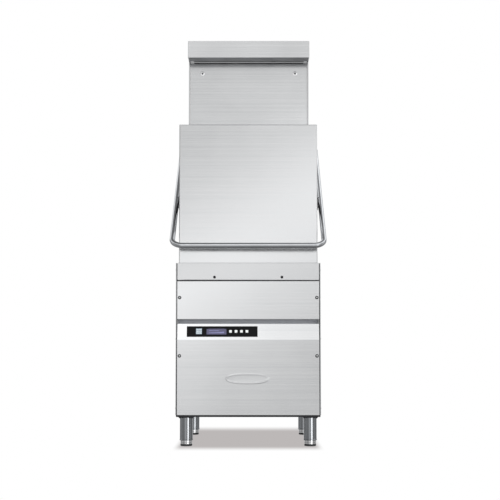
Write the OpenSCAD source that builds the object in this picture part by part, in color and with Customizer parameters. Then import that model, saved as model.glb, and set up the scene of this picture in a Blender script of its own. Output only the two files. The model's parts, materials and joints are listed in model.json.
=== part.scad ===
// Pass-through hood dishwasher for 500 mm racks, with a condenser tower at the rear.
// Millimetres. +Z is up and the front faces -Y. The origin is on the floor, under the middle of the box.
// Inside the modules, a depth is measured backwards from the front panels of the body.

/* [Body] */
// Width over the side panels
body_w = 665; // [660:1:670]
// Depth from the front panels to the rear panel
body_d = 745; // [745:1:755]
// Height of the rim above the floor
rim_z = 840; // [838:1:844]
// Height of the underside of the body
base_z = 134; // [130:1:138]
// Thickness of the outer sheet
sheet = 1.5; // [1.2:0.1:1.8]
// Width of the folded front edge of each side panel
edge_fold = 3; // [3:0.5:6]
// Gap between the front panels and the edges of the side panels
side_gap = 4; // [2:0.5:4]
// Height of the deck round the wash tank
deck_z = 800; // [798:1:802]
// Clearance between the front panels
panel_gap = 5; // [3:0.5:5]
// Height of the base tray that shows below the outer panels
skirt_h = 9; // [6:1:10]

/* [Front panels] */
// Lower edge of the rim panel
rim_panel_z = 761; // [760:1:764]
// Lower edge of the upper front panel
upper_panel_z = 580; // [576:1:584]
// Upper edge of the control band
band_top_z = 560; // [556:1:564]
// Bend between the lower panel and the control band
band_z = 486; // [482:1:490]
// Distance that the control band leans back
band_lean = 22; // [18:1:26]
// Depth of the recess above the control band
recess_d = 36; // [32:1:40]
// Depth of the folded edges of the panels
fold_d = 12; // [10:1:13]

/* [Controls] */
// Left end of the control strip
strip_x = -282; // [-290:1:-275]
// Length of the control strip
strip_w = 325; // [320:1:330]
// Height of the control strip
strip_h = 50; // [48:1:52]
// Middle of the control strip, up the slope of the band
strip_up = 40; // [38:1:41]
// Thickness of the control strip
strip_t = 2; // [2:0.5:3]
// Middle of the start button
start_x = -226; // [-230:1:-222]
// Width of the start button
start_w = 28; // [26:1:30]
// Middle of the first key
key_x = -81; // [-83:1:-79]
// Distance between keys
key_pitch = 25; // [24:0.5:26]
// Width of a key
key_w = 14; // [12:1:16]
// Travel of the button and the keys
key_travel = 1.5; // [1:0.5:2]
// Left end of the display
display_x = -191; // [-194:1:-188]
// Length of the display
display_w = 91; // [86:1:94]
// Height of the display
display_h = 29; // [26:1:31]

/* [Hood] */
// Width of the hood
hood_w = 640; // [638:1:642]
// Distance of the hood behind the front panels
hood_setback = 15; // [14:1:17]
// Height of the top of the closed hood
hood_top_z = 1486; // [1482:1:1487]
// Lower edge of the closed hood
hood_low_z = 812; // [810:1:814]
// Space between the two skins of the hood
hood_skin = 22; // [21:1:23]
// Travel of the hood
hood_lift = 435; // [430:1:436]

/* [Handle] */
// Distance of the bar in front of the front panels
bar_ahead = 80; // [78:1:84]
// Radius of the handle tube
bar_r = 12.5; // [12:0.5:13]
// Middle of each handle arm, from the middle of the machine
arm_x = 346.5; // [346:0.5:348]
// Slope of the arms when the hood is closed
arm_slope = 37.3; // [37:0.1:38]
// Distance from the bar back to the pivot shaft
arm_run = 720; // [716:1:724]
// Height of the pivot shaft
pivot_z = 1462; // [1458:1:1466]
// Radius of the corners of the handle
bend_r = 48; // [40:1:56]
// Angle that the handle turns through
handle_swing = 49.85; // [49.3:0.01:50]
// Radius of the glides on the arms
glide_r = 10; // [9:0.5:11]
// Radius of the pivot shaft
shaft_r = 10; // [9:0.5:11]

/* [Tower] */
// Width of the tower
tower_w = 620; // [616:1:622]
// Depth of the tower
tower_d = 145; // [143:1:146]
// Height of the top of the tower
tower_top_z = 2012; // [2010:1:2020]
// Height of the cap
cap_h = 86; // [84:1:88]
// Distance that the cap reaches forward
cap_reach = 100; // [90:1:104]

/* [Legs] */
// Radius of a leg
leg_r = 30; // [28:1:32]
// Middle of each leg, from the middle of the machine
leg_x = 285; // [280:1:288]
// Depth of the front legs
leg_front = 55; // [50:1:60]
// Distance between the front and rear legs
leg_spacing = 630; // [620:1:636]
// Height of the lower end of a leg
foot_h = 26; // [24:1:32]
// Thickness of the pad under a leg
foot_pad_h = 9; // [8:1:11]

/* [Wash system] */
// Inside width and depth of the tank
tank_w = 506; // [504:1:508]
// Height of the tank floor
tank_z = 560; // [556:1:564]
// Height at which the rack rests
rack_z = 862; // [860:1:864]
// Reach of the spray arms
arm_reach = 238; // [225:1:240]
// Radius of the wash pipe
wash_r = 16; // [15:0.5:17]
// Radius of the wash arm spindle
spindle_r = 12; // [11:0.5:13]
// Radius of the rinse arm spindle
rinse_r = 8; // [7.5:0.5:8.5]
// Running clearance on shafts and spindles
run_gap = 0.05; // [0.03:0.01:0.08]

/* [Hidden] */
$fn = 48;

steel = "#c8cacc";
bright = "#dcdedf";
dark = "#2b2d30";
white = "#eceeee";
plastic = "#5a5f66";
brass = "#b79a55";

// The box of the whole machine is centred on the origin, from the bar to the rear panel.
front_y = -(body_d - bar_ahead - bar_r) / 2;
half_w = body_w / 2;
inner_w = half_w - sheet - 0.5;
panel_low = base_z + skirt_h;
front_w = half_w - edge_fold - side_gap;
tower_front = body_d - tower_d;
cap_z = tower_top_z - cap_h;
hood_back = tower_front - 5;
band_tilt = atan(band_lean / (band_top_z - band_z));
chamber_d = 316;
overflow_at = 205;
eps = 0.01;

// Handle: where the glides sit at rest, and how far they leave a straight lift on the way.
pivot_d = arm_run - bar_ahead;
lift_per_rad = hood_lift / (handle_swing * PI / 180);
glide_reach = hood_lift / (sin(arm_slope) + sin(handle_swing - arm_slope));
glide_d = pivot_d - glide_reach * cos(arm_slope);
glide_z = pivot_z - glide_reach * sin(arm_slope);
flat_angle = acos(lift_per_rad / glide_reach);
glide_dip = lift_per_rad * (arm_slope - flat_angle) * PI / 180
    - glide_reach * (sin(arm_slope) - sin(flat_angle));
slot_half = glide_r + glide_dip / 2 + 1;
slot_z = glide_z - glide_dip / 2;

// Spray arm levels. The upper pair hangs from the riser as the lower pair stands on it.
wash_hub_h = 25;
hub_gap = 0.3;
rinse_hub_h = 15;
nut_h = 8;
lower_shoulder = 838;
upper_shoulder = 1332;
branch_z = 735;
feed_z = 1385;
riser_d = 628;
rinse_x = 60;

// Machine compartment.
pump_d = 500;
pump_z = 250;
volute_r = 80;
volute_half = 35;
suction_x = -90;
sump = [-140, 0, 445, 555];
sump_z = 500;
hose_d = body_d - 60;
valve_x = -120;
drain_x = -40;
gland_x = -210;
spring_x = 270;
lever_reach = 60;
lever_angle = 25;
fan_d = tower_front + tower_d / 2;
fan_z = 1850;
fan_r = 60;
screw_r = 8;
shank_r = 3;

// ---- Shared shapes ----

// Everything is placed by its depth behind the front panels
module at_front() translate([0, front_y, 0]) children();

// A box between two x, two depths and two heights
module bx(x, d, z) translate([x[0], d[0], z[0]]) cube([x[1] - x[0], d[1] - d[0], z[1] - z[0]]);

// A round bar along one axis, between two positions on it
module bar_x(x, d, z, r) translate([x[0], d, z]) rotate([0, 90, 0]) cylinder(h = x[1] - x[0], r = r);
module bar_y(x, d, z, r) translate([x, d[0], z]) rotate([-90, 0, 0]) cylinder(h = d[1] - d[0], r = r);
module bar_z(x, d, z, r) translate([x, d, z[0]]) cylinder(h = z[1] - z[0], r = r);

// A tube along Z
module tube_z(x, d, z, r, bore) difference() {
    bar_z(x, d, z, r);
    bar_z(x, d, [z[0] - 1, z[1] + 1], bore);
}

// A shape on the right, its mirror image on the left, or both
module on_side(side) {
    if (side > 0) children();
    else mirror([1, 0, 0]) children();
}
module both_sides() for (side = [-1, 1]) on_side(side) children();

// A shallow pan of sheet that opens to the rear
module pan(x, d, z, t) difference() {
    bx(x, d, z);
    bx([x[0] + t, x[1] - t], [d[0] + t, d[1] + 1], [z[0] + t, z[1] - t]);
}

// A panel screw with its round head in front of the sheet
module screw(x, d, z, r) difference() {
    union() {
        bar_y(x, [d - 2.5, d], z, r);
        bar_y(x, [d - eps, d + 10], z, shank_r);
    }
    bar_y(x, [d - 3, d - 1], z, r * 0.38);
}
module screw_hole(x, d, z) bar_y(x, [d - 5, d + 5], z, shank_r + 0.2);

// The sloped control band: x across, z up the slope, -y out of the band
module on_band() at_front() translate([0, 0, band_z]) rotate([-band_tilt, 0, 0]) children();

// ---- Chassis ----

module base_tray() color(steel) at_front() difference() {
    bx([-inner_w, inner_w], [fold_d + 1, body_d - 3], [base_z, base_z + 25]);
    bx([2 - inner_w, inner_w - 2], [fold_d + 3, body_d - 5], [base_z + 2, base_z + 30]);
    bar_z(gland_x, hose_d, [base_z - 1, base_z + 5], 11);
    bar_z(valve_x, hose_d, [base_z - 1, base_z + 5], 14);
    bar_z(drain_x, hose_d, [base_z - 1, base_z + 5], 15);
}

module corner_posts() color(steel) at_front() both_sides() {
    post_z = [base_z + 2, deck_z];
    corner = inner_w - 2.5;
    bx([corner - 30, corner], [recess_d + 4, recess_d + 6], post_z);
    bx([corner - 2, corner], [recess_d + 6, recess_d + 34], post_z);
    bx([corner - 30, corner], [body_d - 8, body_d - 6], post_z);
    bx([corner - 2, corner], [body_d - 36, body_d - 8], post_z);
}

leg_depths = [leg_front, leg_front + leg_spacing];

module legs() color(bright) at_front() both_sides() for (d = leg_depths) {
    tube_z(leg_x, d, [foot_h, base_z - 4], leg_r, leg_r - 2);
    tube_z(leg_x, d, [foot_pad_h, foot_h], leg_r - 3, 9);
    bx([leg_x - leg_r - 4, leg_x + leg_r + 4], [d - leg_r - 4, d + leg_r + 4], [base_z - 4, base_z]);
}

// Pad and threaded stem; the steel collar above the pad belongs to the leg
module levelling_feet() color(plastic) at_front() both_sides() for (d = leg_depths)
    translate([leg_x, d, 0]) rotate_extrude() polygon([
        [0, 0], [leg_r - 4, 0], [leg_r - 3, 1.5], [leg_r - 3, foot_pad_h - 0.2], [8.5, foot_pad_h - 0.2],
        [8.5, base_z - 30], [0, base_z - 30]]);

module side_panel(side) color(steel) at_front() on_side(side) difference() {
    union() {
        bx([half_w - sheet, half_w], [0, body_d], [panel_low, rim_z]);
        bx([half_w - edge_fold, half_w - sheet + eps], [0, sheet], [panel_low, rim_z]);
        bx([half_w - 20, half_w - sheet + eps], [body_d - sheet, body_d], [panel_low, rim_z]);
        bx([half_w - edge_fold, half_w - sheet + eps], [0, body_d], [rim_z - sheet, rim_z]);
    }
    for (d = [-200, 200], z = [740, 780])
        bar_x([half_w - 5, half_w + 5], chamber_d + d, z, 4.25);
}
module side_panel_left() side_panel(-1);
module side_panel_right() side_panel(1);

// Three groups of louvre slots let the warm air out of the machine compartment
module rear_panel() color(steel) at_front() difference() {
    bx([21 - half_w, half_w - 21], [body_d - sheet, body_d], [panel_low, deck_z - 2]);
    for (x = [-170, 0, 170], z = [300:14:426])
        bx([x - 60, x + 60], [body_d - 5, body_d + 1], [z, z + 5]);
}

module front_rim_panel() color(steel) at_front() difference() {
    bx([-front_w, front_w], [0, fold_d], [rim_panel_z, rim_z]);
    bx([sheet - front_w, front_w - sheet], [sheet, fold_d + 1], [rim_panel_z + sheet, rim_z - sheet]);
    bx([-front_w - 1, front_w + 1], [3, fold_d + 1], [deck_z - 3, rim_z - sheet]);
    for (x = rim_screw_x) screw_hole(x, 0, rim_screw_z);
}

module upper_front_panel() color(steel) at_front() difference() {
    pan([-front_w, front_w], [0, fold_d], [upper_panel_z, rim_panel_z - panel_gap], sheet);
    for (side = [-1, 1]) screw_hole(side * panel_screw_x, 0, upper_screw_z);
}

// One sheet: the flat lower panel, the sloped control band and the back of the recess above it
module lower_front_panel() color(steel) difference() {
    at_front() translate([-front_w, 0, 0]) rotate([90, 0, 90]) linear_extrude(height = 2 * front_w)
        polygon([
            [fold_d, panel_low], [0, panel_low], [0, band_z], [band_lean, band_top_z],
            [recess_d, band_top_z], [recess_d, upper_panel_z + 12],
            [recess_d + sheet, upper_panel_z + 12], [recess_d + sheet, band_top_z - sheet],
            [band_lean + sheet, band_top_z - sheet], [sheet, band_z - 0.2],
            [sheet, panel_low + sheet], [fold_d, panel_low + sheet]]);
    at_front() for (side = [-1, 1]) screw_hole(side * panel_screw_x, 0, lower_screw_z);
    key_holes(0.4, [-1, 6]);
}

// ---- Controls ----

keys = [0, 1, 2, 3];

// Square windows for the start button and the keys
module key_holes(gap, y) on_band() {
    key_block(start_x, start_w + 2 * gap, y);
    for (i = keys) key_block(key_x + i * key_pitch, key_w + 2 * gap, y);
}
module key_block(x, w, y) bx([x - w / 2, x + w / 2], y, [strip_up - w / 2, strip_up + w / 2]);

module control_overlay() color(dark) difference() {
    on_band() bx([strip_x, strip_x + strip_w], [-strip_t, 0],
        [strip_up - strip_h / 2, strip_up + strip_h / 2]);
    key_holes(0.4, [-strip_t - 1, 1]);
    on_band() bx([display_x - 0.3, display_x + display_w + 0.3], [-strip_t - 1, -strip_t + 1],
        [strip_up - display_h / 2 - 0.3, strip_up + display_h / 2 + 0.3]);
}

module display_window() color("#6f74b8") on_band()
    bx([display_x, display_x + display_w], [-strip_t, 1 - strip_t],
        [strip_up - display_h / 2, strip_up + display_h / 2]);

// Buttons stand proud by their travel and half a millimetre
key_face = -strip_t - key_travel - 0.5;

module start_button() color(white) on_band() key_block(start_x, start_w, [key_face, 5]);
module key(i) color(white) on_band() key_block(key_x + i * key_pitch, key_w, [key_face, 5]);
module key_1() key(0);
module key_2() key(1);
module key_3() key(2);
module key_4() key(3);

module control_board() color("#2f6b3a") on_band()
    bx([strip_x + 20, strip_x + strip_w - 20], [5.5 + key_travel, 7 + key_travel], [8, 66]);

// ---- Fasteners ----

panel_screw_x = 315;
upper_screw_z = 680;
lower_screw_z = 413;
rim_screw_x = [-155, 155];
rim_screw_z = 774;
tower_screw_x = 240;
tower_screw_z = 1866;

module panel_screws() color(bright) at_front() for (side = [-1, 1]) {
    screw(side * panel_screw_x, 0, upper_screw_z, screw_r);
    screw(side * panel_screw_x, 0, lower_screw_z, screw_r);
    screw(side * tower_screw_x, tower_front, tower_screw_z, screw_r - 1);
}
module rim_screws() color(dark) at_front() for (x = rim_screw_x) screw(x, 0, rim_screw_z, screw_r - 1.5);

// ---- Tank and what lies in it ----

tank_x = [-tank_w / 2, tank_w / 2];
tank_d = [chamber_d - tank_w / 2, chamber_d + tank_w / 2];

module wash_tank() color(bright) at_front() difference() {
    union() {
        bx([-inner_w, inner_w], [3, body_d - 4], [deck_z, deck_z + 2]);
        bx([tank_x[0] - 2, tank_x[1] + 2], [tank_d[0] - 2, tank_d[1] + 2], [tank_z - 2, deck_z + eps]);
        bx([sump[0] - 2, sump[1] + 2], [sump[2] - 2, sump[3] + 2], [sump_z - 2, tank_z]);
    }
    bx(tank_x, tank_d, [tank_z, deck_z + 5]);
    bx([sump[0], sump[1]], [sump[2], sump[3]], [sump_z, tank_z + 1]);
    bar_z(suction_x, pump_d, [sump_z - 5, sump_z + 5], 20);
    bar_z(overflow_at, chamber_d + overflow_at, [tank_z - 5, tank_z + 5], 14);
    bar_y(0, [tank_d[1] - 5, tank_d[1] + 5], branch_z, wash_r + 0.2);
    bar_y(rinse_x, [tank_d[1] - 5, tank_d[1] + 5], branch_z, rinse_r + 0.2);
    bar_z(0, riser_d, [deck_z - 5, deck_z + 5], wash_r + 1);
    bar_z(rinse_x, riser_d, [deck_z - 5, deck_z + 5], rinse_r);
}

module rack_rails() color(bright) at_front() for (s = [-1, 1]) translate([0, chamber_d, 0])
    on_depth(s) difference() {
        union() {
            bx([-284, 284], [254, 256], [deck_z + 2, rack_z + 20]);
            bx([-284, 284], [229, 254 + eps], [rack_z - 2, rack_z]);
            bx([-284, 284], [256 - eps, 266], [deck_z + 2, deck_z + 4]);
        }
        for (x = [-220:110:220]) bx([x - 35, x + 35], [250, 260], [deck_z + 24, deck_z + 36]);
    }
module on_depth(s) {
    if (s > 0) children();
    else mirror([0, 1, 0]) children();
}

filter_z = 765;
module tank_filters() color(steel) at_front() both_sides() difference() {
    bx([1, tank_x[1] - 2], [tank_d[0] + 2, tank_d[1] - 2], [filter_z, filter_z + 22]);
    bx([2.2, tank_x[1] - 3.2], [tank_d[0] + 3.2, tank_d[1] - 3.2], [filter_z + 1.2, filter_z + 30]);
    bar_z(0, chamber_d, [filter_z - 1, filter_z + 30], 32);
    bar_z(overflow_at, chamber_d + overflow_at, [filter_z - 1, filter_z + 2], 18);
    for (i = [0:8], j = [0:5]) bx([40 + i * 19, 46 + i * 19],
        [tank_d[0] + 22 + j * 80, tank_d[0] + 78 + j * 80], [filter_z - 1, filter_z + 2]);
}

module pump_strainer() color(steel) at_front() difference() {
    bar_z(-70, pump_d, [sump_z, tank_z + 60], 42);
    bar_z(-70, pump_d, [sump_z - 1, tank_z + 58], 40.5);
    for (a = [0:30:150], z = [sump_z + 12:18:tank_z + 46])
        translate([-70, pump_d, z]) rotate([0, 0, a]) cube([100, 6, 9], center = true);
}

module overflow_pipe() color(bright) at_front() translate([overflow_at, chamber_d + overflow_at, 0]) {
    difference() {
        union() {
            bar_z(0, 0, [tank_z - 2, tank_z + eps], 14 - run_gap);
            bar_z(0, 0, [tank_z, tank_z + 8], 17);
            bar_z(0, 0, [tank_z + 8 - eps, branch_z], 12);
        }
        bar_z(0, 0, [tank_z - 3, branch_z + 1], 10);
    }
    bar_x([-11, 11], 0, branch_z - 8, 2.5);
    bar_z(0, 0, [branch_z - 8, filter_z + 24], 2.5);
    translate([0, 0, filter_z + 28]) sphere(r = 7);
}

module tank_heater() color(steel) at_front() translate([0, chamber_d - 90, tank_z + 30]) {
    for (s = [-1, 1]) bar_x([-150, tank_w / 2], s * 45, 0, 4.5);
    translate([-150, 0, 0]) rotate([0, 0, 90]) rotate_extrude(angle = 180)
        translate([45, 0]) circle(r = 4.5);
    bx([tank_w / 2 - 4, tank_w / 2], [-60, 60], [-18, 18]);
}

// ---- Machine compartment ----

module wash_pump() color(plastic) at_front() difference() {
    union() {
        bar_x([-volute_half, volute_half], pump_d, pump_z, volute_r);
        bar_x([volute_half - eps, 240], pump_d, pump_z, 62);
        bx([60, 220], [pump_d - 50, pump_d + 50], [base_z + 2, pump_z - 40]);
        bar_z(0, pump_d, [pump_z + 60, pump_z + 100], wash_r + 4);
        bar_x([suction_x, -volute_half + eps], pump_d, pump_z, 23);
        translate([suction_x, pump_d, pump_z]) sphere(r = 23);
        bar_z(suction_x, pump_d, [pump_z, sump_z - 2], 23);
    }
    bar_x([-volute_half + 5, volute_half - 5], pump_d, pump_z, volute_r - 6);
    bar_z(0, pump_d, [pump_z + 50, pump_z + 101], wash_r - 1.5);
    bar_x([suction_x, -volute_half + 6], pump_d, pump_z, 20);
    translate([suction_x, pump_d, pump_z]) sphere(r = 20);
    bar_z(suction_x, pump_d, [pump_z, sump_z], 20);
    bar_x([volute_half - 6, 75], pump_d, pump_z, rinse_r + run_gap);
}

module pump_rotor() color(bright) at_front() {
    bar_x([10, 70], pump_d, pump_z, rinse_r);
    bar_x([14, 20], pump_d, pump_z, 60);
    bar_x([-8, 18], pump_d, pump_z, 16);
    for (a = [0:60:300]) translate([0, pump_d, pump_z]) rotate([a + 7, 0, 0])
        translate([-5, -2, 10]) cube([22, 4, 46]);
}

module boiler() color(bright) at_front() translate([215, 300, 0]) difference() {
    union() {
        bar_z(0, 0, [base_z + 30, 500], 88);
        for (a = [45:90:315]) rotate([0, 0, a]) bx([60, 84], [-6, 6], [base_z + 2, base_z + 40]);
        bar_z(0, 0, [500 - eps, 512], 55);
        bar_z(0, 60, [490, 520], 14);
    }
    bar_z(0, 0, [base_z + 33, 497], 85);
    bar_z(0, 60, [489, 521], rinse_r - 1.5);
}

module drain_pump() color(plastic) at_front() difference() {
    union() {
        bar_y(drain_x, [610, 670], 200, 38);
        bar_z(drain_x, hose_d, [110, 140], 14);
        bar_z(drain_x, hose_d, [base_z + 2, 200], 18);
        bar_y(drain_x, [665, hose_d], 200, 18);
        bx([drain_x - 25, drain_x + 25], [612, 660], [base_z + 2, 180]);
        translate([drain_x, hose_d, 200]) sphere(r = 18);
    }
    bar_z(drain_x, hose_d, [109, 200], 11);
}

module inlet_valve() color(brass) at_front() difference() {
    union() {
        bar_z(valve_x, hose_d, [110, 175], 13.2);
        bx([valve_x - 20, valve_x + 20], [hose_d - 22, hose_d + 22], [base_z + 2, 176]);
        bar_y(valve_x, [hose_d - 60, hose_d - 20], 160, 12);
    }
    bar_z(valve_x, hose_d, [109, 150], 10);
}

module dosing_pumps() color(plastic) at_front() for (x = [-300, -225]) {
    bx([x, x + 62], [60, 130], [450, 520]);
    bar_y(x + 31, [52, 60 + eps], 485, 24);
}

// Sheet box with two cable entries in its rear wall
module electrical_box() color(steel) at_front() difference() {
    bx([-315, -185], [60, 320], [base_z + 2, 430]);
    bx([sheet - 315, -185 - sheet], [60 + sheet, 320 - sheet], [base_z + 2 + sheet, 430 - sheet]);
    for (x = [-280, -220]) bar_y(x, [315, 325], 380, 12);
}

module cable_gland() color(dark) at_front() tube_z(gland_x, hose_d, [112, 150], 10.9, 7);

// Wash pipe: pump, riser behind the tank, and a branch to each pair of spray arms
module riser_route(r, extra) {
    bar_z(0, pump_d, [pump_z + 100, 420], r);
    translate([0, pump_d, 420]) sphere(r = r);
    bar_y(0, [pump_d, riser_d], 420, r);
    translate([0, riser_d, 420]) sphere(r = r);
    bar_z(0, riser_d, [420, feed_z], r);
    translate([0, riser_d, feed_z]) sphere(r = r);
    bar_y(0, [chamber_d, riser_d], feed_z, r);
    bar_y(0, [chamber_d, riser_d], branch_z, r);
    bar_z(0, chamber_d, [branch_z - extra, branch_z + 10], r);
    bar_z(0, chamber_d, [feed_z - 10, feed_z + extra], r);
}
module wash_riser() color(bright) at_front() difference() {
    union() {
        riser_route(wash_r, wash_r + 6);
        spindle(branch_z, lower_shoulder, 1);
        spindle(feed_z, upper_shoulder, -1);
    }
    riser_route(wash_r - 1.5, 0);
    bar_z(0, chamber_d, [branch_z, lower_shoulder - 20], spindle_r - 4);
    bar_z(0, chamber_d, [upper_shoulder + 20, feed_z], spindle_r - 4);
    bar_z(0, pump_d, [pump_z + 99, pump_z + 101], wash_r - 1.5);
}
// The stepped pin that carries a wash arm and, past the shoulder, a rinse arm and its nut
module spindle(from_z, shoulder, s) {
    tip = shoulder + s * (rinse_hub_h + nut_h + 2 * hub_gap);
    bar_z(0, chamber_d, [min(from_z, shoulder), max(from_z, shoulder)], spindle_r);
    collar = shoulder - s * (wash_hub_h + 2 * hub_gap);
    bar_z(0, chamber_d, [min(collar, collar - s * 6), max(collar, collar - s * 6)], 20);
    bar_z(0, chamber_d, [min(shoulder - s, tip), max(shoulder - s, tip)], rinse_r);
}

module rinse_pipe() color(bright) at_front() {
    r = rinse_r - 2;
    bar_z(215, 360, [520, 540], r);
    translate([215, 360, 540]) sphere(r = r);
    bar_y(215, [360, riser_d], 540, r);
    translate([215, riser_d, 540]) sphere(r = r);
    bar_x([rinse_x, 215], riser_d, 540, r);
    translate([rinse_x, riser_d, 540]) sphere(r = r);
    bar_z(rinse_x, riser_d, [540, feed_z + 15], r);
    for (z = [branch_z, feed_z + 15]) {
        translate([rinse_x, riser_d, z]) sphere(r = r);
        bar_y(rinse_x, [chamber_d, riser_d], z, r);
        translate([rinse_x, chamber_d, z]) sphere(r = r);
        bar_x([wash_r + 1, rinse_x], chamber_d, z, r);
    }
}

// ---- Spray arms ----

// A hollow flat arm with a hub at each level; up is 1 for arms that spray upwards
module wash_arm(z, up) translate([0, chamber_d, z]) difference() {
    union() {
        cylinder(h = wash_hub_h, r = 26);
        arm_body(arm_reach, 17, 4, 20);
    }
    translate([0, 0, -1]) cylinder(h = wash_hub_h + 2, r = spindle_r + run_gap);
    difference() {
        arm_body(arm_reach - 2, 15, 6, 18);
        cylinder(h = 60, r = 24, center = true);
    }
    for (x = [-200:40:200], s = [-1, 1]) if (abs(x) > 50)
        translate([x - 10, s * 6 - 1.5, up > 0 ? 17 : 3]) cube([20, 3, 5]);
}
module arm_body(reach, half, low, high) translate([0, 0, low]) {
    translate([half - reach, -half, 0]) cube([2 * (reach - half), 2 * half, high - low]);
    for (s = [-1, 1]) translate([s * (reach - half), 0, 0]) cylinder(h = high - low, r = half);
}

// A thin rinse arm: a tube across a small hub, with nozzle nibs
module rinse_arm(z, up) translate([0, chamber_d, z]) rotate([0, 0, 52]) difference() {
    union() {
        cylinder(h = rinse_hub_h, r = 17);
        bar_x([-arm_reach + 6, arm_reach - 6], 0, rinse_hub_h / 2, 6);
        for (x = [-210:60:210]) translate([x, 0, rinse_hub_h / 2])
            rotate([up > 0 ? 0 : 180, 0, 0]) cylinder(h = 8.5, r = 4);
    }
    translate([0, 0, -1]) cylinder(h = rinse_hub_h + 2, r = rinse_r + run_gap);
}

lower_wash_z = lower_shoulder - hub_gap - wash_hub_h;
lower_rinse_z = lower_shoulder + hub_gap;
upper_wash_z = upper_shoulder + hub_gap;
upper_rinse_z = upper_shoulder - hub_gap - rinse_hub_h;

module lower_wash_arm() color(bright) at_front() wash_arm(lower_wash_z, 1);
module upper_wash_arm() color(bright) at_front() wash_arm(upper_wash_z, -1);
module lower_rinse_arm() color(bright) at_front() rinse_arm(lower_rinse_z, 1);
module upper_rinse_arm() color(bright) at_front() rinse_arm(upper_rinse_z, -1);

module arm_nuts() color(plastic) at_front() {
    tube_z(0, chamber_d, [lower_rinse_z + rinse_hub_h + hub_gap,
        lower_rinse_z + rinse_hub_h + hub_gap + nut_h], 15, rinse_r);
    tube_z(0, chamber_d, [upper_rinse_z - hub_gap - nut_h, upper_rinse_z - hub_gap], 15, rinse_r);
}

// ---- Tower ----

tower_x = tower_w / 2;

module splash_panel() color(steel) at_front() difference() {
    bx([sheet - tower_x, tower_x - sheet], [tower_front, tower_front + sheet], [deck_z + 2, hood_top_z]);
    bar_y(0, [tower_front - 5, tower_front + 5], feed_z, wash_r + 1);
    bar_y(rinse_x, [tower_front - 5, tower_front + 5], feed_z + 15, rinse_r);
}

module tower_shell() color(steel) at_front() difference() {
    bx([-tower_x, tower_x], [tower_front, body_d], [deck_z + 2, cap_z]);
    bx([sheet - tower_x, tower_x - sheet], [tower_front - 1, body_d - sheet], [deck_z, cap_z + 1]);
    bar_x([-tower_x - 5, tower_x + 5], pivot_d, pivot_z, 16);
}

module tower_front_cover() color(steel) at_front() difference() {
    bx([sheet - tower_x, tower_x - sheet], [tower_front, tower_front + sheet], [hood_top_z + 1, cap_z]);
    for (side = [-1, 1]) screw_hole(side * tower_screw_x, tower_front, tower_screw_z);
}

outlet_x = 285;
outlet_d = [tower_front - 26, tower_front - 8];

module tower_cap() color(steel) at_front() difference() {
    bx([-tower_x, tower_x], [tower_front - cap_reach, body_d], [cap_z, tower_top_z]);
    bx([sheet - tower_x, tower_x - sheet], [tower_front - cap_reach + sheet, body_d - sheet],
        [cap_z + sheet, tower_top_z - sheet]);
    bx([-outlet_x, outlet_x], outlet_d, [cap_z - 1, cap_z + 5]);
    bx([20 - tower_x, tower_x - 20], [tower_front + 20, body_d - 20], [cap_z - 1, cap_z + 5]);
}

// Dark baffle under the front of the cap, ahead of the outlet slot
module outlet_strip() color(dark) at_front()
    bx([3 - tower_x, tower_x - 3], [tower_front - cap_reach + 3, outlet_d[0] - 2], [cap_z - 2, cap_z]);

// Finned coil across the tower
module heat_exchanger() color("#b9835a") at_front() {
    for (x = [-250:20:250]) bx([x, x + 1], [620, 720], [1560, 1790]);
    for (z = [1590:45:1770], d = [645, 695]) bar_x([-262, 262], d, z, 6);
    for (s = [-1, 1]) bx([min(s * 262, s * 268), max(s * 262, s * 268)], [620, 720], [1560, 1790]);
}

// Baffle with its ring, three struts and the motor
module condenser_fan() color(plastic) at_front() {
    difference() {
        union() {
            bx([3 - tower_x, tower_x - 3], [tower_front + 4, body_d - 4], [fan_z - 2, fan_z]);
            bar_z(0, fan_d, [fan_z - eps, fan_z + 40], fan_r + 6);
        }
        bar_z(0, fan_d, [fan_z - 5, fan_z + 45], fan_r);
    }
    bar_z(0, fan_d, [fan_z - 40, fan_z - 4], 26);
    bar_z(0, fan_d, [fan_z - 5, fan_z + 26], 4);
    for (a = [30:120:270]) translate([0, fan_d, fan_z - 8]) rotate([0, 0, a])
        translate([20, -5, 0]) cube([fan_r - 19, 10, 6.5]);
}

module fan_wheel() color(dark) at_front() translate([0, fan_d, fan_z + 2]) difference() {
    union() {
        cylinder(h = 30, r = 18);
        for (a = [0:60:300]) rotate([0, 0, a]) translate([16, 0, 15]) rotate([32, 0, 0])
            translate([0, -12, -1]) cube([fan_r - 20, 24, 2]);
    }
    translate([0, 0, -1]) cylinder(h = 32, r = 4 + run_gap);
}

// ---- Hood ----

hood_x = hood_w / 2;
liner_x = hood_x - hood_skin;
liner_d = hood_setback + hood_skin;
liner_low = hood_low_z + 18;

// Rails in front of the tower corners, inside the double skin of the hood sides
rail_x = [303, 309];
module hood_guides() color(bright) at_front() both_sides()
    bx(rail_x, [tower_front - 22, tower_front], [deck_z + 2, cap_z - 2]);

module hood_shell() color(steel) at_front() {
    difference() {
        bx([-hood_x, hood_x], [hood_setback, hood_back], [hood_low_z, hood_top_z]);
        bx([sheet - hood_x, hood_x - sheet], [hood_setback + sheet, hood_back + 1],
            [hood_low_z - 1, hood_top_z - sheet]);
        both_sides() bx([rail_x[0] - 1, rail_x[1] + 1], [tower_front - 23, tower_front],
            [hood_top_z - 5, hood_top_z + 1]);
    }
    both_sides() bx([rail_x[1] + 2, hood_x - sheet + eps], [hood_back - sheet, hood_back],
        [hood_low_z, hood_top_z - sheet + eps]);
}

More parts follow.
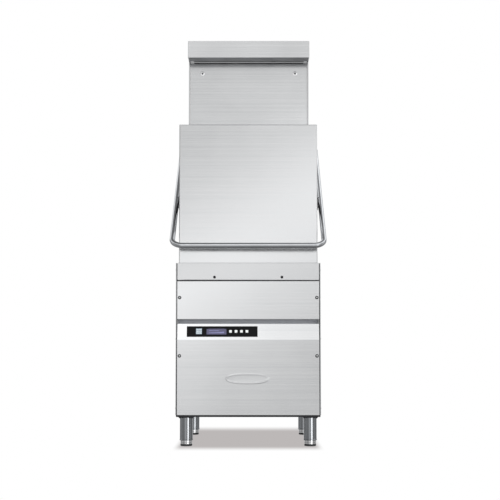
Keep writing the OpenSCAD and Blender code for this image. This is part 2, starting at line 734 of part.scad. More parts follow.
module hood_liner() color(bright) at_front() difference() {
    union() {
        bx([-liner_x, liner_x], [liner_d, hood_back - 2], [liner_low, hood_top_z - hood_skin]);
        bx([0.3 + sheet - hood_x, hood_x - sheet - 0.3], [hood_setback + sheet + 0.3, tower_front - 40],
            [liner_low, liner_low + 1.5]);
    }
    bx([1.2 - liner_x, liner_x - 1.2], [liner_d + 1.2, hood_back + 1],
        [liner_low - 1, hood_top_z - hood_skin - 1.2]);
}

// Slots on the hood sides in which the handle glides run
channel_d = [pivot_d - glide_reach - glide_r - 12, glide_d + glide_r + 12];
channel_t = 11.5;
module hood_channels() color(plastic) at_front() both_sides() {
    low = slot_z - slot_half;
    high = slot_z + slot_half;
    bx([hood_x, hood_x + 1.5], channel_d, [low - 3, high + 3]);
    bx([hood_x, hood_x + channel_t], channel_d, [low - 3, low]);
    bx([hood_x, hood_x + channel_t], channel_d, [high, high + 3]);
}

// Blocks that grip the guide rails, near the top and the bottom of the hood
module hood_glides() color(white) at_front() both_sides() for (z = [liner_low + 20, hood_top_z - 72])
    difference() {
        bx([liner_x + 0.3, hood_x - sheet - 0.3], [tower_front - 34, tower_front - 8], [z, z + 50]);
        bx([rail_x[0] - 0.4, rail_x[1] + 0.4], [tower_front - 22.4, tower_front], [z - 1, z + 51]);
    }

// ---- Handle ----

// Local frame of the bent tube: the arms run forwards (-y) from the pivot and slope down
arm_length = arm_run / cos(arm_slope);
module on_arm() at_front() translate([0, pivot_d, pivot_z]) rotate([arm_slope, 0, 0]) children();

module handle_route(r, end) {
    bar_x([bend_r - arm_x, arm_x - bend_r], -arm_length, 0, r);
    both_sides() {
        translate([arm_x - bend_r, bend_r - arm_length, 0]) rotate([0, 0, -90])
            rotate_extrude(angle = 90) translate([bend_r, 0]) circle(r = r);
        bar_y(arm_x, [bend_r - arm_length, end], 0, r);
    }
}
module handle_bar() color(bright) on_arm() difference() {
    union() {
        handle_route(bar_r, -10);
        both_sides() bar_x([arm_x - 12, arm_x + 12], 0, 0, 20);
    }
    handle_route(bar_r - sheet, -22);
    both_sides() {
        bar_y(arm_x, [-23, -5], 0, 3);
        bar_x([arm_x - 13, arm_x + 13], 0, 0, shaft_r);
    }
}

module pivot_shaft() color(bright) at_front() bar_x([-arm_x - 12, arm_x + 12], pivot_d, pivot_z, shaft_r);

module shaft_bushes() color(white) at_front() both_sides() difference() {
    union() {
        bar_x([tower_x - 12, tower_x + 1], pivot_d, pivot_z, 15.9);
        bar_x([tower_x - 12, tower_x - 1.6], pivot_d, pivot_z, 22);
    }
    bar_x([tower_x - 13, tower_x + 2], pivot_d, pivot_z, shaft_r + run_gap);
}

module spring_levers() color(steel) at_front() both_sides()
    translate([spring_x - 4, pivot_d, pivot_z]) rotate([lever_angle, 0, 0]) difference() {
        union() {
            rotate([0, 90, 0]) cylinder(h = 8, r = 18);
            translate([0, 0, -9]) cube([8, lever_reach, 18]);
            translate([0, lever_reach, 0]) rotate([0, 90, 0]) cylinder(h = 8, r = 9);
        }
        translate([-1, 0, 0]) rotate([0, 90, 0]) cylinder(h = 10, r = shaft_r);
    }

// Nylon bosses on the inside of the arms, each on a short pin
module handle_glides() color(dark) at_front() both_sides() {
    bar_x([hood_x + 3, arm_x - bar_r - 2], glide_d, glide_z, glide_r);
    bar_x([arm_x - bar_r - 2 - eps, arm_x - 2], glide_d, glide_z, 5);
}

// Extension springs between the floor of the tower and the levers
spring_low = 1060;
module counterbalance_springs() color(steel) at_front() both_sides()
    tube_z(spring_x, pivot_d + lever_reach * cos(lever_angle),
        [spring_low, pivot_z + lever_reach * sin(lever_angle) - 18], 13, 10);

base_tray();
corner_posts();
legs();
levelling_feet();
side_panel_left();
side_panel_right();
rear_panel();
front_rim_panel();
upper_front_panel();
lower_front_panel();
control_overlay();
display_window();
control_board();
start_button();
key_1();
key_2();
key_3();
key_4();
panel_screws();
rim_screws();
wash_tank();
rack_rails();
tank_filters();
pump_strainer();
overflow_pipe();
tank_heater();
wash_pump();
pump_rotor();
boiler();
drain_pump();
inlet_valve();
dosing_pumps();
electrical_box();
cable_gland();
wash_riser();
rinse_pipe();
lower_wash_arm();
upper_wash_arm();
lower_rinse_arm();
upper_rinse_arm();
arm_nuts();
splash_panel();
hood_guides();
hood_shell();
hood_liner();
hood_channels();
hood_glides();
handle_bar();
pivot_shaft();
spring_levers();
handle_glides();
counterbalance_springs();
shaft_bushes();
tower_shell();
tower_front_cover();
tower_cap();
outlet_strip();
heat_exchanger();
condenser_fan();
fan_wheel();
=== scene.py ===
"""Looks of the pass-through dishwasher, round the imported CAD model. Metres, +Z up, front towards -Y."""
import json
import math

import bpy
import bmesh
from mathutils import Matrix, Vector


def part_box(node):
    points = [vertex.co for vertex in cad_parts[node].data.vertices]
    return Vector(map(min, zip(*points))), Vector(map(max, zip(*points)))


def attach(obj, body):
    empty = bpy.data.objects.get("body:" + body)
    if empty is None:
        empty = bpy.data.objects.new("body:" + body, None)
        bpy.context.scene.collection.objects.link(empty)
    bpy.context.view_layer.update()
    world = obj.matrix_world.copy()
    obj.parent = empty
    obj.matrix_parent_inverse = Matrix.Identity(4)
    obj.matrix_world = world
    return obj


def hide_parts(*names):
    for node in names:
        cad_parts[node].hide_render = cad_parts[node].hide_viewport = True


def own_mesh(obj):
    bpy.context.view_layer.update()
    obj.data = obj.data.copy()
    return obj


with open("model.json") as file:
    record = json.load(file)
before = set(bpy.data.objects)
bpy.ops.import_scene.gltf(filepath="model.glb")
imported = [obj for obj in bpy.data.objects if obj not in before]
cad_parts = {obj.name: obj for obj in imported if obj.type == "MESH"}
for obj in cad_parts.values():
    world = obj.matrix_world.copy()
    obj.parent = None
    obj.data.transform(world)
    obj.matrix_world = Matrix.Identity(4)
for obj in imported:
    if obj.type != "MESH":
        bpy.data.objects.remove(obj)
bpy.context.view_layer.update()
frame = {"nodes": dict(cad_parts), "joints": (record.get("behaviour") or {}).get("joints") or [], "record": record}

MM = 0.001
BODY_OF = {node: body for body, nodes in frame["record"]["behaviour"]["bodies"].items() for node in nodes}
SLOT_OF = {p["node"]: p["material_slot"] for p in frame["record"]["subparts"]}

# ---------------------------------------------------------------- camera, light and floor

FRONT_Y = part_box("lower_front_panel")[0].y
CAMERA_HEIGHT = 0.481
CAMERA_DISTANCE = 5.137
CAMERA_SIDE = 0.0226
FOCAL_MM = 80.6
SENSOR_MM = 36.0
PITCH = math.radians(3.63)
YAW = math.radians(0.16)
SHIFT_UP = 0.040


def make_camera():
    """A long lens low in front of the machine, pitched slightly up"""
    data = bpy.data.cameras.new("camera")
    data.lens = FOCAL_MM
    data.sensor_width = SENSOR_MM
    data.shift_y = SHIFT_UP
    cam = bpy.data.objects.new("camera", data)
    bpy.context.scene.collection.objects.link(cam)
    cam.location = (CAMERA_SIDE, FRONT_Y - CAMERA_DISTANCE, CAMERA_HEIGHT)
    cam.rotation_euler = (math.pi / 2 + PITCH, 0, YAW)
    bpy.context.scene.camera = cam


def area_light(name, place, aim, size, power):
    """A softbox that lights rough surfaces but shows in no reflection"""
    data = bpy.data.lights.new(name, "AREA")
    data.shape = "RECTANGLE"
    data.size, data.size_y = size
    data.energy = power
    lamp = bpy.data.objects.new(name, data)
    bpy.context.scene.collection.objects.link(lamp)
    lamp.location = place
    lamp.rotation_euler = (Vector(aim) - Vector(place)).to_track_quat("-Z", "Y").to_euler()
    lamp.visible_glossy = False
    return lamp


# Brightness of the studio by height of direction: (sine of the elevation, radiance)
STUDIO_RAMP = [
    (-1.0, 0.22), (-0.64, 0.36), (-0.45, 0.70), (-0.26, 0.80), (-0.12, 0.76), (-0.06, 0.85), (0.0, 1.04),
    (0.05, 1.18), (0.09, 2.02), (0.13, 1.14), (0.18, 0.80), (0.24, 0.74), (0.30, 0.70), (0.42, 1.20),
    (0.54, 1.30), (0.66, 2.30), (0.76, 0.95), (0.86, 0.40), (1.0, 0.20)]
# The same by azimuth, in degrees from straight ahead of the machine, positive to its right: (angle, share)
ROUND_RAMP = [
    (-180, 0.80), (-150, 0.85), (-128, 0.34), (-108, 0.42), (-90, 0.66), (-60, 0.42), (-30, 0.54),
    (-12, 1.06), (8, 0.98), (20, 0.94), (26, 1.05), (32, 2.0), (38, 1.05), (46, 0.80), (62, 0.52),
    (90, 0.82), (112, 0.36), (146, 0.90), (180, 0.80)]
# Above every value in both ramps, because a colour ramp holds only 0 to 1
RAMP_TOP = 3.2
# The rows lie higher by this sine on the right and lower on the left, fully so from LEAN_REACH to the side
STUDIO_TILT = 0.07
LEAN_REACH = 0.15
# Between these sines of the elevation, up or down, the azimuth's share fades out
STEEP = (0.35, 0.85)
STUDIO_TINT = (0.985, 0.990, 1.0)


def grey_ramp(nodes, stops, top):
    """A colour ramp through (place, grey) stops, with its greys as shares of top"""
    made = nodes.new("ShaderNodeValToRGB")
    elements = made.color_ramp.elements
    made.color_ramp.interpolation = "EASE"
    for place, grey in stops[1:-1]:
        elements.new(place).color = (grey / top,) * 3 + (1,)
    elements[0].color = (stops[0][1] / top,) * 3 + (1,)
    elements[-1].color = (stops[-1][1] / top,) * 3 + (1,)
    return made


def make_world():
    """White behind the object; reflections see a studio whose brightness depends on the direction alone."""
    world = bpy.data.worlds.new("studio")
    bpy.context.scene.world = world
    world.use_nodes = True
    nodes, links = world.node_tree.nodes, world.node_tree.links
    nodes.clear()

    def maths(operation, *inputs):
        made = nodes.new("ShaderNodeMath")
        made.operation = operation
        for socket, value in zip(made.inputs, inputs):
            if isinstance(value, (int, float)):
                socket.default_value = value
            else:
                links.new(value, socket)
        return made.outputs[0]

    out = nodes.new("ShaderNodeOutputWorld")
    mix = nodes.new("ShaderNodeMixShader")
    path = nodes.new("ShaderNodeLightPath")
    seen = nodes.new("ShaderNodeBackground")
    seen.inputs["Color"].default_value = (1, 1, 1, 1)
    lit = nodes.new("ShaderNodeBackground")
    lit.inputs["Strength"].default_value = RAMP_TOP
    coord = nodes.new("ShaderNodeTexCoord")
    split = nodes.new("ShaderNodeSeparateXYZ")
    links.new(coord.outputs["Generated"], split.inputs[0])
    x, y, z = split.outputs
    lean = nodes.new("ShaderNodeMapRange")
    lean.interpolation_type = "SMOOTHSTEP"
    lean.inputs["From Min"].default_value = -LEAN_REACH
    lean.inputs["From Max"].default_value = LEAN_REACH
    lean.inputs["To Min"].default_value = -STUDIO_TILT
    lean.inputs["To Max"].default_value = STUDIO_TILT
    links.new(x, lean.inputs["Value"])
    tilted = maths("SUBTRACT", z, lean.outputs[0])
    rows = grey_ramp(nodes, [((sine + 1) / 2, grey) for sine, grey in STUDIO_RAMP], RAMP_TOP)
    links.new(maths("ADD", maths("MULTIPLY", tilted, 0.5), 0.5), rows.inputs["Fac"])
    turn = maths("ARCTAN2", x, maths("MULTIPLY", y, -1))
    columns = grey_ramp(nodes, [(angle / 360 + 0.5, grey) for angle, grey in ROUND_RAMP], RAMP_TOP)
    links.new(maths("ADD", maths("DIVIDE", turn, 2 * math.pi), 0.5), columns.inputs["Fac"])
    steep = nodes.new("ShaderNodeMapRange")
    steep.interpolation_type = "SMOOTHSTEP"
    steep.inputs["From Min"].default_value, steep.inputs["From Max"].default_value = STEEP
    links.new(maths("ABSOLUTE", z), steep.inputs["Value"])
    level = nodes.new("ShaderNodeMix")
    level.inputs[3].default_value = 1.0
    links.new(steep.outputs[0], level.inputs[0])
    links.new(maths("MULTIPLY", columns.outputs["Color"], RAMP_TOP), level.inputs[2])
    shade = nodes.new("ShaderNodeMix")
    shade.data_type, shade.blend_type = "RGBA", "MULTIPLY"
    shade.inputs[0].default_value = 1.0
    links.new(maths("MULTIPLY", rows.outputs["Color"], level.outputs[0]), shade.inputs[6])
    shade.inputs[7].default_value = STUDIO_TINT + (1,)
    links.new(shade.outputs[2], lit.inputs["Color"])
    links.new(path.outputs["Is Camera Ray"], mix.inputs["Fac"])
    links.new(lit.outputs[0], mix.inputs[1])
    links.new(seen.outputs[0], mix.inputs[2])
    links.new(mix.outputs[0], out.inputs[0])


FLOOR_R = 60
FLOOR_DROP = 0.0005
# Where the painted shadow fades out, in metres from the middle: to either side, in front and behind
SHADOW_X = (0.30, 0.345)
SHADOW_FRONT = (-0.53, -0.28)
SHADOW_REAR = (0.53, 0.95)
SHADOW_GREY = (0.503, 0.479, 0.474)


def make_floor():
    """A white floor for the camera alone, with a soft grey shadow painted under the machine"""
    bm = bmesh.new()
    lathe(bm, [(0, 0), (2, 0), (FLOOR_R, 0)], (0, 0, -FLOOR_DROP), steps=96)
    mesh = bpy.data.meshes.new("floor")
    bm.to_mesh(mesh)
    bm.free()
    disc = bpy.data.objects.new("floor", mesh)
    bpy.context.scene.collection.objects.link(disc)
    disc.visible_glossy = disc.visible_diffuse = disc.visible_shadow = False
    mat = bpy.data.materials.new("floor")
    mat.use_nodes = True
    nodes, links = mat.node_tree.nodes, mat.node_tree.links
    nodes.remove(nodes["Principled BSDF"])
    glow = nodes.new("ShaderNodeEmission")
    coord = nodes.new("ShaderNodeTexCoord")
    split = nodes.new("ShaderNodeSeparateXYZ")
    links.new(coord.outputs["Object"], split.inputs[0])
    width = nodes.new("ShaderNodeMath")
    width.operation = "ABSOLUTE"
    links.new(split.outputs[0], width.inputs[0])
    painted_shadow_mask = None
    across, ahead = width.outputs[0], split.outputs[1]
    for value, (start, end), flip in ((across, SHADOW_X, True), (ahead, SHADOW_FRONT, False),
                                      (ahead, SHADOW_REAR, True)):
        fade = nodes.new("ShaderNodeMapRange")
        fade.interpolation_type = "SMOOTHSTEP"
        fade.inputs["From Min"].default_value = start
        fade.inputs["From Max"].default_value = end
        fade.inputs["To Min"].default_value = 1.0 if flip else 0.0
        fade.inputs["To Max"].default_value = 0.0 if flip else 1.0
        links.new(value, fade.inputs["Value"])
        if painted_shadow_mask is None:
            painted_shadow_mask = fade.outputs[0]
            continue
        times = nodes.new("ShaderNodeMath")
        times.operation = "MULTIPLY"
        links.new(painted_shadow_mask, times.inputs[0])
        links.new(fade.outputs[0], times.inputs[1])
        painted_shadow_mask = times.outputs[0]
    tone = nodes.new("ShaderNodeMix")
    tone.data_type = "RGBA"
    tone.inputs[6].default_value = (1, 1, 1, 1)
    tone.inputs[7].default_value = SHADOW_GREY + (1,)
    links.new(painted_shadow_mask, tone.inputs[0])
    links.new(tone.outputs[2], glow.inputs["Color"])
    links.new(glow.outputs[0], nodes["Material Output"].inputs["Surface"])
    mesh.materials.append(mat)


make_camera()
make_world()
# (name, place, what it points at, width and height, watts)
for softbox in (("key", (-2.4, -3.2, 3.0), (0, 0, 1.0), (1.6, 2.2), 60),
                ("fill", (2.8, -2.4, 2.2), (0, 0, 0.9), (1.4, 2.0), 38),
                ("top", (0, -0.4, 4.2), (0, 0, 0), (2.4, 2.0), 60),
                ("rear", (0.8, 3.4, 2.6), (0, 0, 1.0), (2.4, 1.6), 45)):
    area_light(*softbox)
bpy.context.scene.view_settings.view_transform = "Standard"

# ---------------------------------------------------------------- materials


class Shader:
    """A small helper that builds one Principled material node by node."""

    def __init__(self, name):
        self.mat = bpy.data.materials.new(name)
        self.mat.use_nodes = True
        self.tree = self.mat.node_tree
        self.bsdf = self.tree.nodes["Principled BSDF"]
        self.coord = self.tree.nodes.new("ShaderNodeTexCoord").outputs["Object"]

    def set(self, **values):
        for key, value in values.items():
            self.bsdf.inputs[key.replace("_", " ")].default_value = value

    def node(self, kind, **settings):
        made = self.tree.nodes.new(kind)
        for key, value in settings.items():
            setattr(made, key, value)
        return made

    def link(self, source, target):
        self.tree.links.new(source, target)

    def noise(self, scale, detail=4.0, stretch=(1, 1, 1), rough=0.5):
        """Noise fixed to the object, stretched along its axes"""
        place = self.node("ShaderNodeMapping")
        place.inputs["Scale"].default_value = stretch
        self.link(self.coord, place.inputs["Vector"])
        tex = self.node("ShaderNodeTexNoise")
        tex.inputs["Scale"].default_value = scale
        tex.inputs["Detail"].default_value = detail
        tex.inputs["Roughness"].default_value = rough
        self.link(place.outputs[0], tex.inputs["Vector"])
        return tex.outputs["Fac"]

    def span(self, value, low, high, source=(0.3, 0.7)):
        """value's range source mapped to low and high"""
        made = self.node("ShaderNodeMapRange")
        made.inputs["From Min"].default_value, made.inputs["From Max"].default_value = source
        made.inputs["To Min"].default_value, made.inputs["To Max"].default_value = low, high
        self.link(value, made.inputs["Value"])
        return made.outputs[0]

    def tint(self, value, low, high, source=(0.3, 0.7)):
        """A mix of the colours low and high by value"""
        made = self.node("ShaderNodeMix", data_type="RGBA")
        made.inputs[6].default_value = tuple(low) + (1,)
        made.inputs[7].default_value = tuple(high) + (1,)
        self.link(self.span(value, 0, 1, source), made.inputs[0])
        return made.outputs[2]

    def shade(self, colour, value):
        """colour darkened by value"""
        made = self.node("ShaderNodeMix", data_type="RGBA", blend_type="MULTIPLY")
        made.inputs[0].default_value = 1.0
        self.link(colour, made.inputs[6])
        self.link(value, made.inputs[7])
        return made.outputs[2]

    def painted_crevice_shade(self, distance, low):
        """Painted shade: the colour darker where surfaces meet, by ambient occlusion"""
        made = self.node("ShaderNodeAmbientOcclusion", samples=8)
        made.inputs["Distance"].default_value = distance
        return self.span(made.outputs["AO"], low, 1.0, (0.0, 0.75))

    def bump(self, value, strength, distance, before=None):
        made = self.node("ShaderNodeBump")
        made.inputs["Strength"].default_value = strength
        made.inputs["Distance"].default_value = distance
        self.link(value, made.inputs["Height"])
        if before is not None:
            self.link(before, made.inputs["Normal"])
        return made.outputs[0]

    def to(self, value, socket):
        self.link(value, self.bsdf.inputs[socket])


# How a noise is stretched along each axis: fine scratches, and long streaks
GRAINS = {"x": (14, 1500, 1500), "y": (1500, 14, 1500), "z": (1500, 1500, 14)}
STREAKS = {"x": (0.5, 480, 480), "y": (480, 0.5, 480), "z": (480, 480, 0.5)}


def brushed(name, grey=0.62, rough=(0.14, 0.18), grain="x", streak=0.035, wave=0.16,
            painted_crevice_shade=(0.014, 0.45)):
    """Brushed stainless: scratches and streaks along one axis, cloudy wear, slightly uneven sheet, and painted
    shade where surfaces meet
    """
    s = Shader(name)
    s.set(Metallic=1.0)
    fine = s.noise(1.0, 3.0, GRAINS[grain], 0.6)
    long = s.noise(1.0, 2.0, STREAKS[grain], 0.6)
    cloud = s.noise(3.2, 2.0)
    low = [grey * (1 - streak) * c for c in (0.985, 0.995, 1.0)]
    high = [grey * (1 + streak) * c for c in (1.0, 1.0, 1.0)]
    lines = s.node("ShaderNodeMath", operation="ADD")
    s.link(s.span(fine, 0.0, 0.35), lines.inputs[0])
    s.link(s.span(long, 0.0, 0.65), lines.inputs[1])
    colour = s.shade(s.tint(lines.outputs[0], low, high, (0.2, 0.8)), s.span(cloud, 0.95, 1.0))
    # Painted shade: the colour is darkened by ambient occlusion where surfaces meet
    s.to(s.shade(colour, s.painted_crevice_shade(*painted_crevice_shade)), "Base Color")
    mixed = s.node("ShaderNodeMath", operation="ADD")
    s.link(s.span(lines.outputs[0], rough[0], rough[1], (0.2, 0.8)), mixed.inputs[0])
    s.link(s.span(cloud, -0.012, 0.018), mixed.inputs[1])
    s.to(mixed.outputs[0], "Roughness")
    sheet = s.bump(s.noise(2.6, 1.0), wave, 0.0016)
    s.to(s.bump(fine, 0.04, 0.0001, sheet), "Normal")
    return s.mat


def moulded(name, colour, rough=(0.35, 0.5), pores=900, strength=0.12, coat=0.0, vary=0.12):
    """Moulded plastic or rubber with a fine spark-eroded texture, cloudy wear and painted shade where surfaces
    meet
    """
    s = Shader(name)
    s.set(Coat_Weight=coat, Coat_Roughness=0.06)
    cloud = s.noise(9.0, 4.0)
    low = [c * (1 - vary) for c in colour]
    high = [min(1.0, c * (1 + vary)) for c in colour]
    # Painted shade: the colour is darkened by ambient occlusion where surfaces meet
    s.to(s.shade(s.tint(cloud, low, high), s.painted_crevice_shade(0.006, 0.7)), "Base Color")
    s.to(s.span(cloud, rough[0], rough[1]), "Roughness")
    s.to(s.bump(s.noise(pores, 2.0), strength, 0.0002), "Normal")
    return s.mat


def polished(name, colour, rough=(0.10, 0.18), grain="x"):
    """Smooth metal with faint drawing lines, finger wear and painted shade where surfaces meet."""
    s = Shader(name)
    s.set(Metallic=1.0)
    fine = s.noise(1.0, 3.0, GRAINS[grain], 0.6)
    cloud = s.noise(14.0, 4.0)
    low = [c * 0.93 for c in colour]
    # Painted shade: the colour is darkened by ambient occlusion where surfaces meet
    s.to(s.shade(s.tint(cloud, low, colour), s.painted_crevice_shade(0.008, 0.55)), "Base Color")
    s.to(s.span(cloud, rough[0], rough[1]), "Roughness")
    s.to(s.bump(fine, 0.005, 0.0001), "Normal")
    return s.mat


def display_glass():
    """Back-lit liquid crystal: violet-blue with faint pixel rows"""
    s = Shader("display_blue")
    s.set(Coat_Weight=0.1, Coat_Roughness=0.05, Roughness=0.35, Emission_Strength=0.05)
    rows = s.noise(1.0, 1.0, (60, 1400, 1400))
    colour = s.tint(rows, (0.064, 0.060, 0.118), (0.082, 0.078, 0.148))
    s.to(colour, "Base Color")
    s.link(colour, s.bsdf.inputs["Emission Color"])
    return s.mat


def circuit_board():
    """Green lacquer over paler copper tracks"""
    s = Shader("board_green")
    tracks = s.noise(1.0, 0.0, (160, 40, 160))
    s.to(s.tint(tracks, (0.012, 0.10, 0.035), (0.02, 0.17, 0.06), (0.45, 0.55)), "Base Color")
    s.to(s.span(tracks, 0.3, 0.5), "Roughness")
    s.to(s.bump(tracks, 0.2, 0.0003), "Normal")
    return s.mat


SHEET_X = brushed("sheet_grain_x")
SHEET_Y = brushed("sheet_grain_y", grain="y")
# Painted light: the hood, the tower cover and the cap are lighter copies of the one brushed sheet, for the
# brighter light on them
HOOD = brushed("hood_sheet", grey=0.66, rough=(0.16, 0.20), wave=0.10)
# Painted shade: the rim is a darker copy of the same sheet, for the handle bar's shadow on it
RIM = brushed("rim_sheet", grey=0.585, rough=(0.17, 0.21))
TOWER = brushed("tower_sheet", grey=0.69, rough=(0.16, 0.20), painted_crevice_shade=(0.003, 0.8))
CAP = brushed("cap_sheet", grey=0.76, rough=(0.16, 0.20), wave=0.10)
SHEET_Z = brushed("sheet_grain_z", grain="z")
LINER = brushed("liner_sheet", grey=0.62, rough=(0.26, 0.33), grain="x", wave=0.05)
TUBE = polished("tube_satin", (0.52, 0.53, 0.545), (0.12, 0.19))
# Painted shade: the legs' satin steel is much darker than the handle's, for the shade under the base
LEG_TUBE_SHADED = polished("tube_satin_z", (0.27, 0.28, 0.29), (0.12, 0.17), "z")
SCREW = polished("screw_steel", (0.58, 0.58, 0.58), (0.15, 0.28))
DARK_SCREW = polished("screw_black", (0.035, 0.035, 0.038), (0.25, 0.4))
# Painted shade: the base tray and the leg plates are near-black, for the shade under the machine
SHADED_SKIRT = polished("skirt_dark", (0.045, 0.045, 0.048), (0.35, 0.5))
# Painted shade: the outlet strip under the cap is dark grey, for the shade under the cap's overhang
SHADED_BAFFLE = polished("baffle_dark", (0.20, 0.205, 0.215), (0.30, 0.42))
# Shiny washers round the tower screws, made near-white beyond real steel as a painted highlight
HIGHLIGHT_WASHER = polished("washer_bright", (0.90, 0.90, 0.90), (0.20, 0.30))
BLACK = moulded("black_nylon", (0.022, 0.023, 0.026), (0.38, 0.55))
OVERLAY = moulded("overlay_black", (0.0035, 0.0035, 0.004), (0.30, 0.38), 300, 0.03, 0.0)
OVERLAY.node_tree.nodes["Principled BSDF"].inputs["Specular IOR Level"].default_value = 0.10
KEY = moulded("key_white", (0.80, 0.82, 0.81), (0.35, 0.45), 700, 0.05, 0.1, 0.03)
GREY = moulded("housing_grey", (0.20, 0.215, 0.235), (0.4, 0.55))
NYLON = moulded("nylon_natural", (0.74, 0.73, 0.68), (0.4, 0.5), 600, 0.1, 0.0, 0.05)
FOOT = moulded("foot_black", (0.020, 0.021, 0.022), (0.4, 0.6))
BRASS = polished("brass_cast", (0.62, 0.44, 0.17), (0.25, 0.4))
COPPER = polished("copper_tube", (0.62, 0.33, 0.20), (0.22, 0.35))
FINS = polished("fin_aluminium", (0.62, 0.64, 0.66), (0.25, 0.4), "z")
DISPLAY = display_glass()
BOARD = circuit_board()
SEAL = moulded("seal_rubber", (0.018, 0.018, 0.02), (0.55, 0.75), 500, 0.2)
START = moulded("start_grey_blue", (0.16, 0.21, 0.26), (0.3, 0.4), 700, 0.05, 0.2, 0.03)
START_TILE = moulded("start_tile", (0.58, 0.65, 0.69), (0.3, 0.4), 700, 0.05, 0.2, 0.03)
DISPLAY_MARK = moulded("display_mark", (0.30, 0.30, 0.58), (0.3, 0.4), 700, 0.02, 0.2, 0.05)
CHANNEL = moulded("channel_grey", (0.56, 0.58, 0.62), (0.5, 0.6), 700, 0.05, 0.0, 0.03)

SLOT_LOOK = {"brushed_sheet": SHEET_X, "bright_steel": TUBE, "dark_screw": DARK_SCREW, "foot_plastic": FOOT,
             "black_overlay": OVERLAY, "display": DISPLAY, "circuit_board": BOARD, "key_white": KEY,
             "grey_plastic": GREY, "brass": BRASS, "black_plastic": BLACK, "nylon": NYLON, "copper": COPPER}

# ---------------------------------------------------------------- mesh helpers

# Two points closer than this are in one place
SAME = 1e-5
SAME_LINE = 1e-6


def mm(rows, sign=1):
    """(radius, height) rows in metres from rows in millimetres; sign turns the heights round"""
    return [(radius * MM, sign * height * MM) for radius, height in rows]


def finish_mesh(name, bm, mat, body, smooth=35):
    """Turns a bmesh into a piece that rides on a body."""
    bmesh.ops.recalc_face_normals(bm, faces=bm.faces)
    mesh = bpy.data.meshes.new(name)
    bm.to_mesh(mesh)
    bm.free()
    for face in mesh.polygons:
        face.use_smooth = True
    mesh.set_sharp_from_angle(angle=math.radians(smooth))
    mesh.materials.append(mat)
    piece = bpy.data.objects.new(name, mesh)
    bpy.context.scene.collection.objects.link(piece)
    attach(piece, body)
    return piece


def sharp_edges(bm, angle=12):
    """Edges where two faces meet at more than the angle, in degrees"""
    limit = math.radians(angle)
    return [e for e in bm.edges if len(e.link_faces) == 2 and e.calc_face_angle(0) > limit]


def refined(node, mat, edge=0.5, fold=0.0, is_fold=None):
    """The CAD node's own mesh with folded corners and eased edges; sizes in millimetres."""
    bm = bmesh.new()
    bm.from_mesh(frame["nodes"][node].data)
    bmesh.ops.remove_doubles(bm, verts=bm.verts, dist=SAME_LINE)
    bmesh.ops.dissolve_limit(bm, angle_limit=math.radians(0.4), verts=bm.verts, edges=bm.edges)
    bmesh.ops.recalc_face_normals(bm, faces=bm.faces)
    bmesh.ops.dissolve_degenerate(bm, dist=SAME, edges=bm.edges)
    bmesh.ops.triangulate(bm, faces=bm.faces)
    if fold:
        chosen = [e for e in sharp_edges(bm) if is_fold(*[v.co for v in e.verts])]
        bmesh.ops.bevel(bm, geom=chosen, offset=fold * MM, segments=5, profile=0.5, affect="EDGES",
                        clamp_overlap=False)
    if edge:
        bmesh.ops.bevel(bm, geom=sharp_edges(bm), offset=edge * MM, segments=2, profile=0.5, affect="EDGES",
                        clamp_overlap=True)
    piece = finish_mesh(node + "_skin", bm, mat, BODY_OF[node])
    flat = piece.modifiers.new("flat_faces", "WEIGHTED_NORMAL")
    flat.keep_sharp = True
    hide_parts(node)
    return piece


def lathe(bm, profile, place, axis="z", steps=48):
    """Turns a profile of (radius, height) round an axis through place."""
    turn = {"z": Matrix.Identity(3), "x": Matrix.Rotation(math.pi / 2, 3, "Y"),
            "y": Matrix.Rotation(-math.pi / 2, 3, "X")}[axis]
    rings = []
    for radius, height in profile:
        if radius < 1e-7:
            rings.append([bm.verts.new(turn @ Vector((0, 0, height)) + Vector(place))])
            continue
        ring = []
        for i in range(steps):
            a = 2 * math.pi * i / steps
            point = Vector((radius * math.cos(a), radius * math.sin(a), height))
            ring.append(bm.verts.new(turn @ point + Vector(place)))
        rings.append(ring)
    for low, high in zip(rings, rings[1:]):
        for i in range(steps):
            j = (i + 1) % steps
            if len(low) == 1:
                bm.faces.new((low[0], high[i], high[j]))
            elif len(high) == 1:
                bm.faces.new((low[i], high[0], low[j]))
            else:
                bm.faces.new((low[i], high[i], high[j], low[j]))


def sweep(bm, path, radius, sides=24, side=Vector((1, 0, 0))):
    """A round tube along a list of points; side is any direction across its start."""
    rings = []
    for i, point in enumerate(path):
        ahead = (path[min(i + 1, len(path) - 1)] - path[max(i - 1, 0)]).normalized()
        side = (side - ahead * side.dot(ahead)).normalized()
        other = ahead.cross(side)
        rings.append([bm.verts.new(point + radius * (math.cos(a) * side + math.sin(a) * other))
                      for a in (2 * math.pi * k / sides for k in range(sides))])
    for low, high in zip(rings, rings[1:]):
        for k in range(sides):
            n = (k + 1) % sides
            bm.faces.new((low[k], low[n], high[n], high[k]))
    bm.faces.new(rings[0][::-1])
    bm.faces.new(rings[-1])


def block(bm, low, high, ease=0.0, segments=2):
    """A box between two corners, with its edges eased"""
    made = bmesh.ops.create_cube(bm, size=1.0)["verts"]
    low, high = Vector(low), Vector(high)
    for v in made:
        v.co = (low + high) / 2 + Vector(a * b for a, b in zip(v.co, high - low))
    if ease:
        edges = list({e for v in made for e in v.link_edges})
        bmesh.ops.bevel(bm, geom=edges, offset=ease, segments=segments, profile=0.5, affect="EDGES",
                        clamp_overlap=True)


make_floor()
# Nodes that nothing replaces keep their mesh and take their slot's material
for each in frame["nodes"].values():
    each.data.materials.clear()
    each.data.materials.append(SLOT_LOOK[SLOT_OF[each.name]])

# ---------------------------------------------------------------- sheet metal


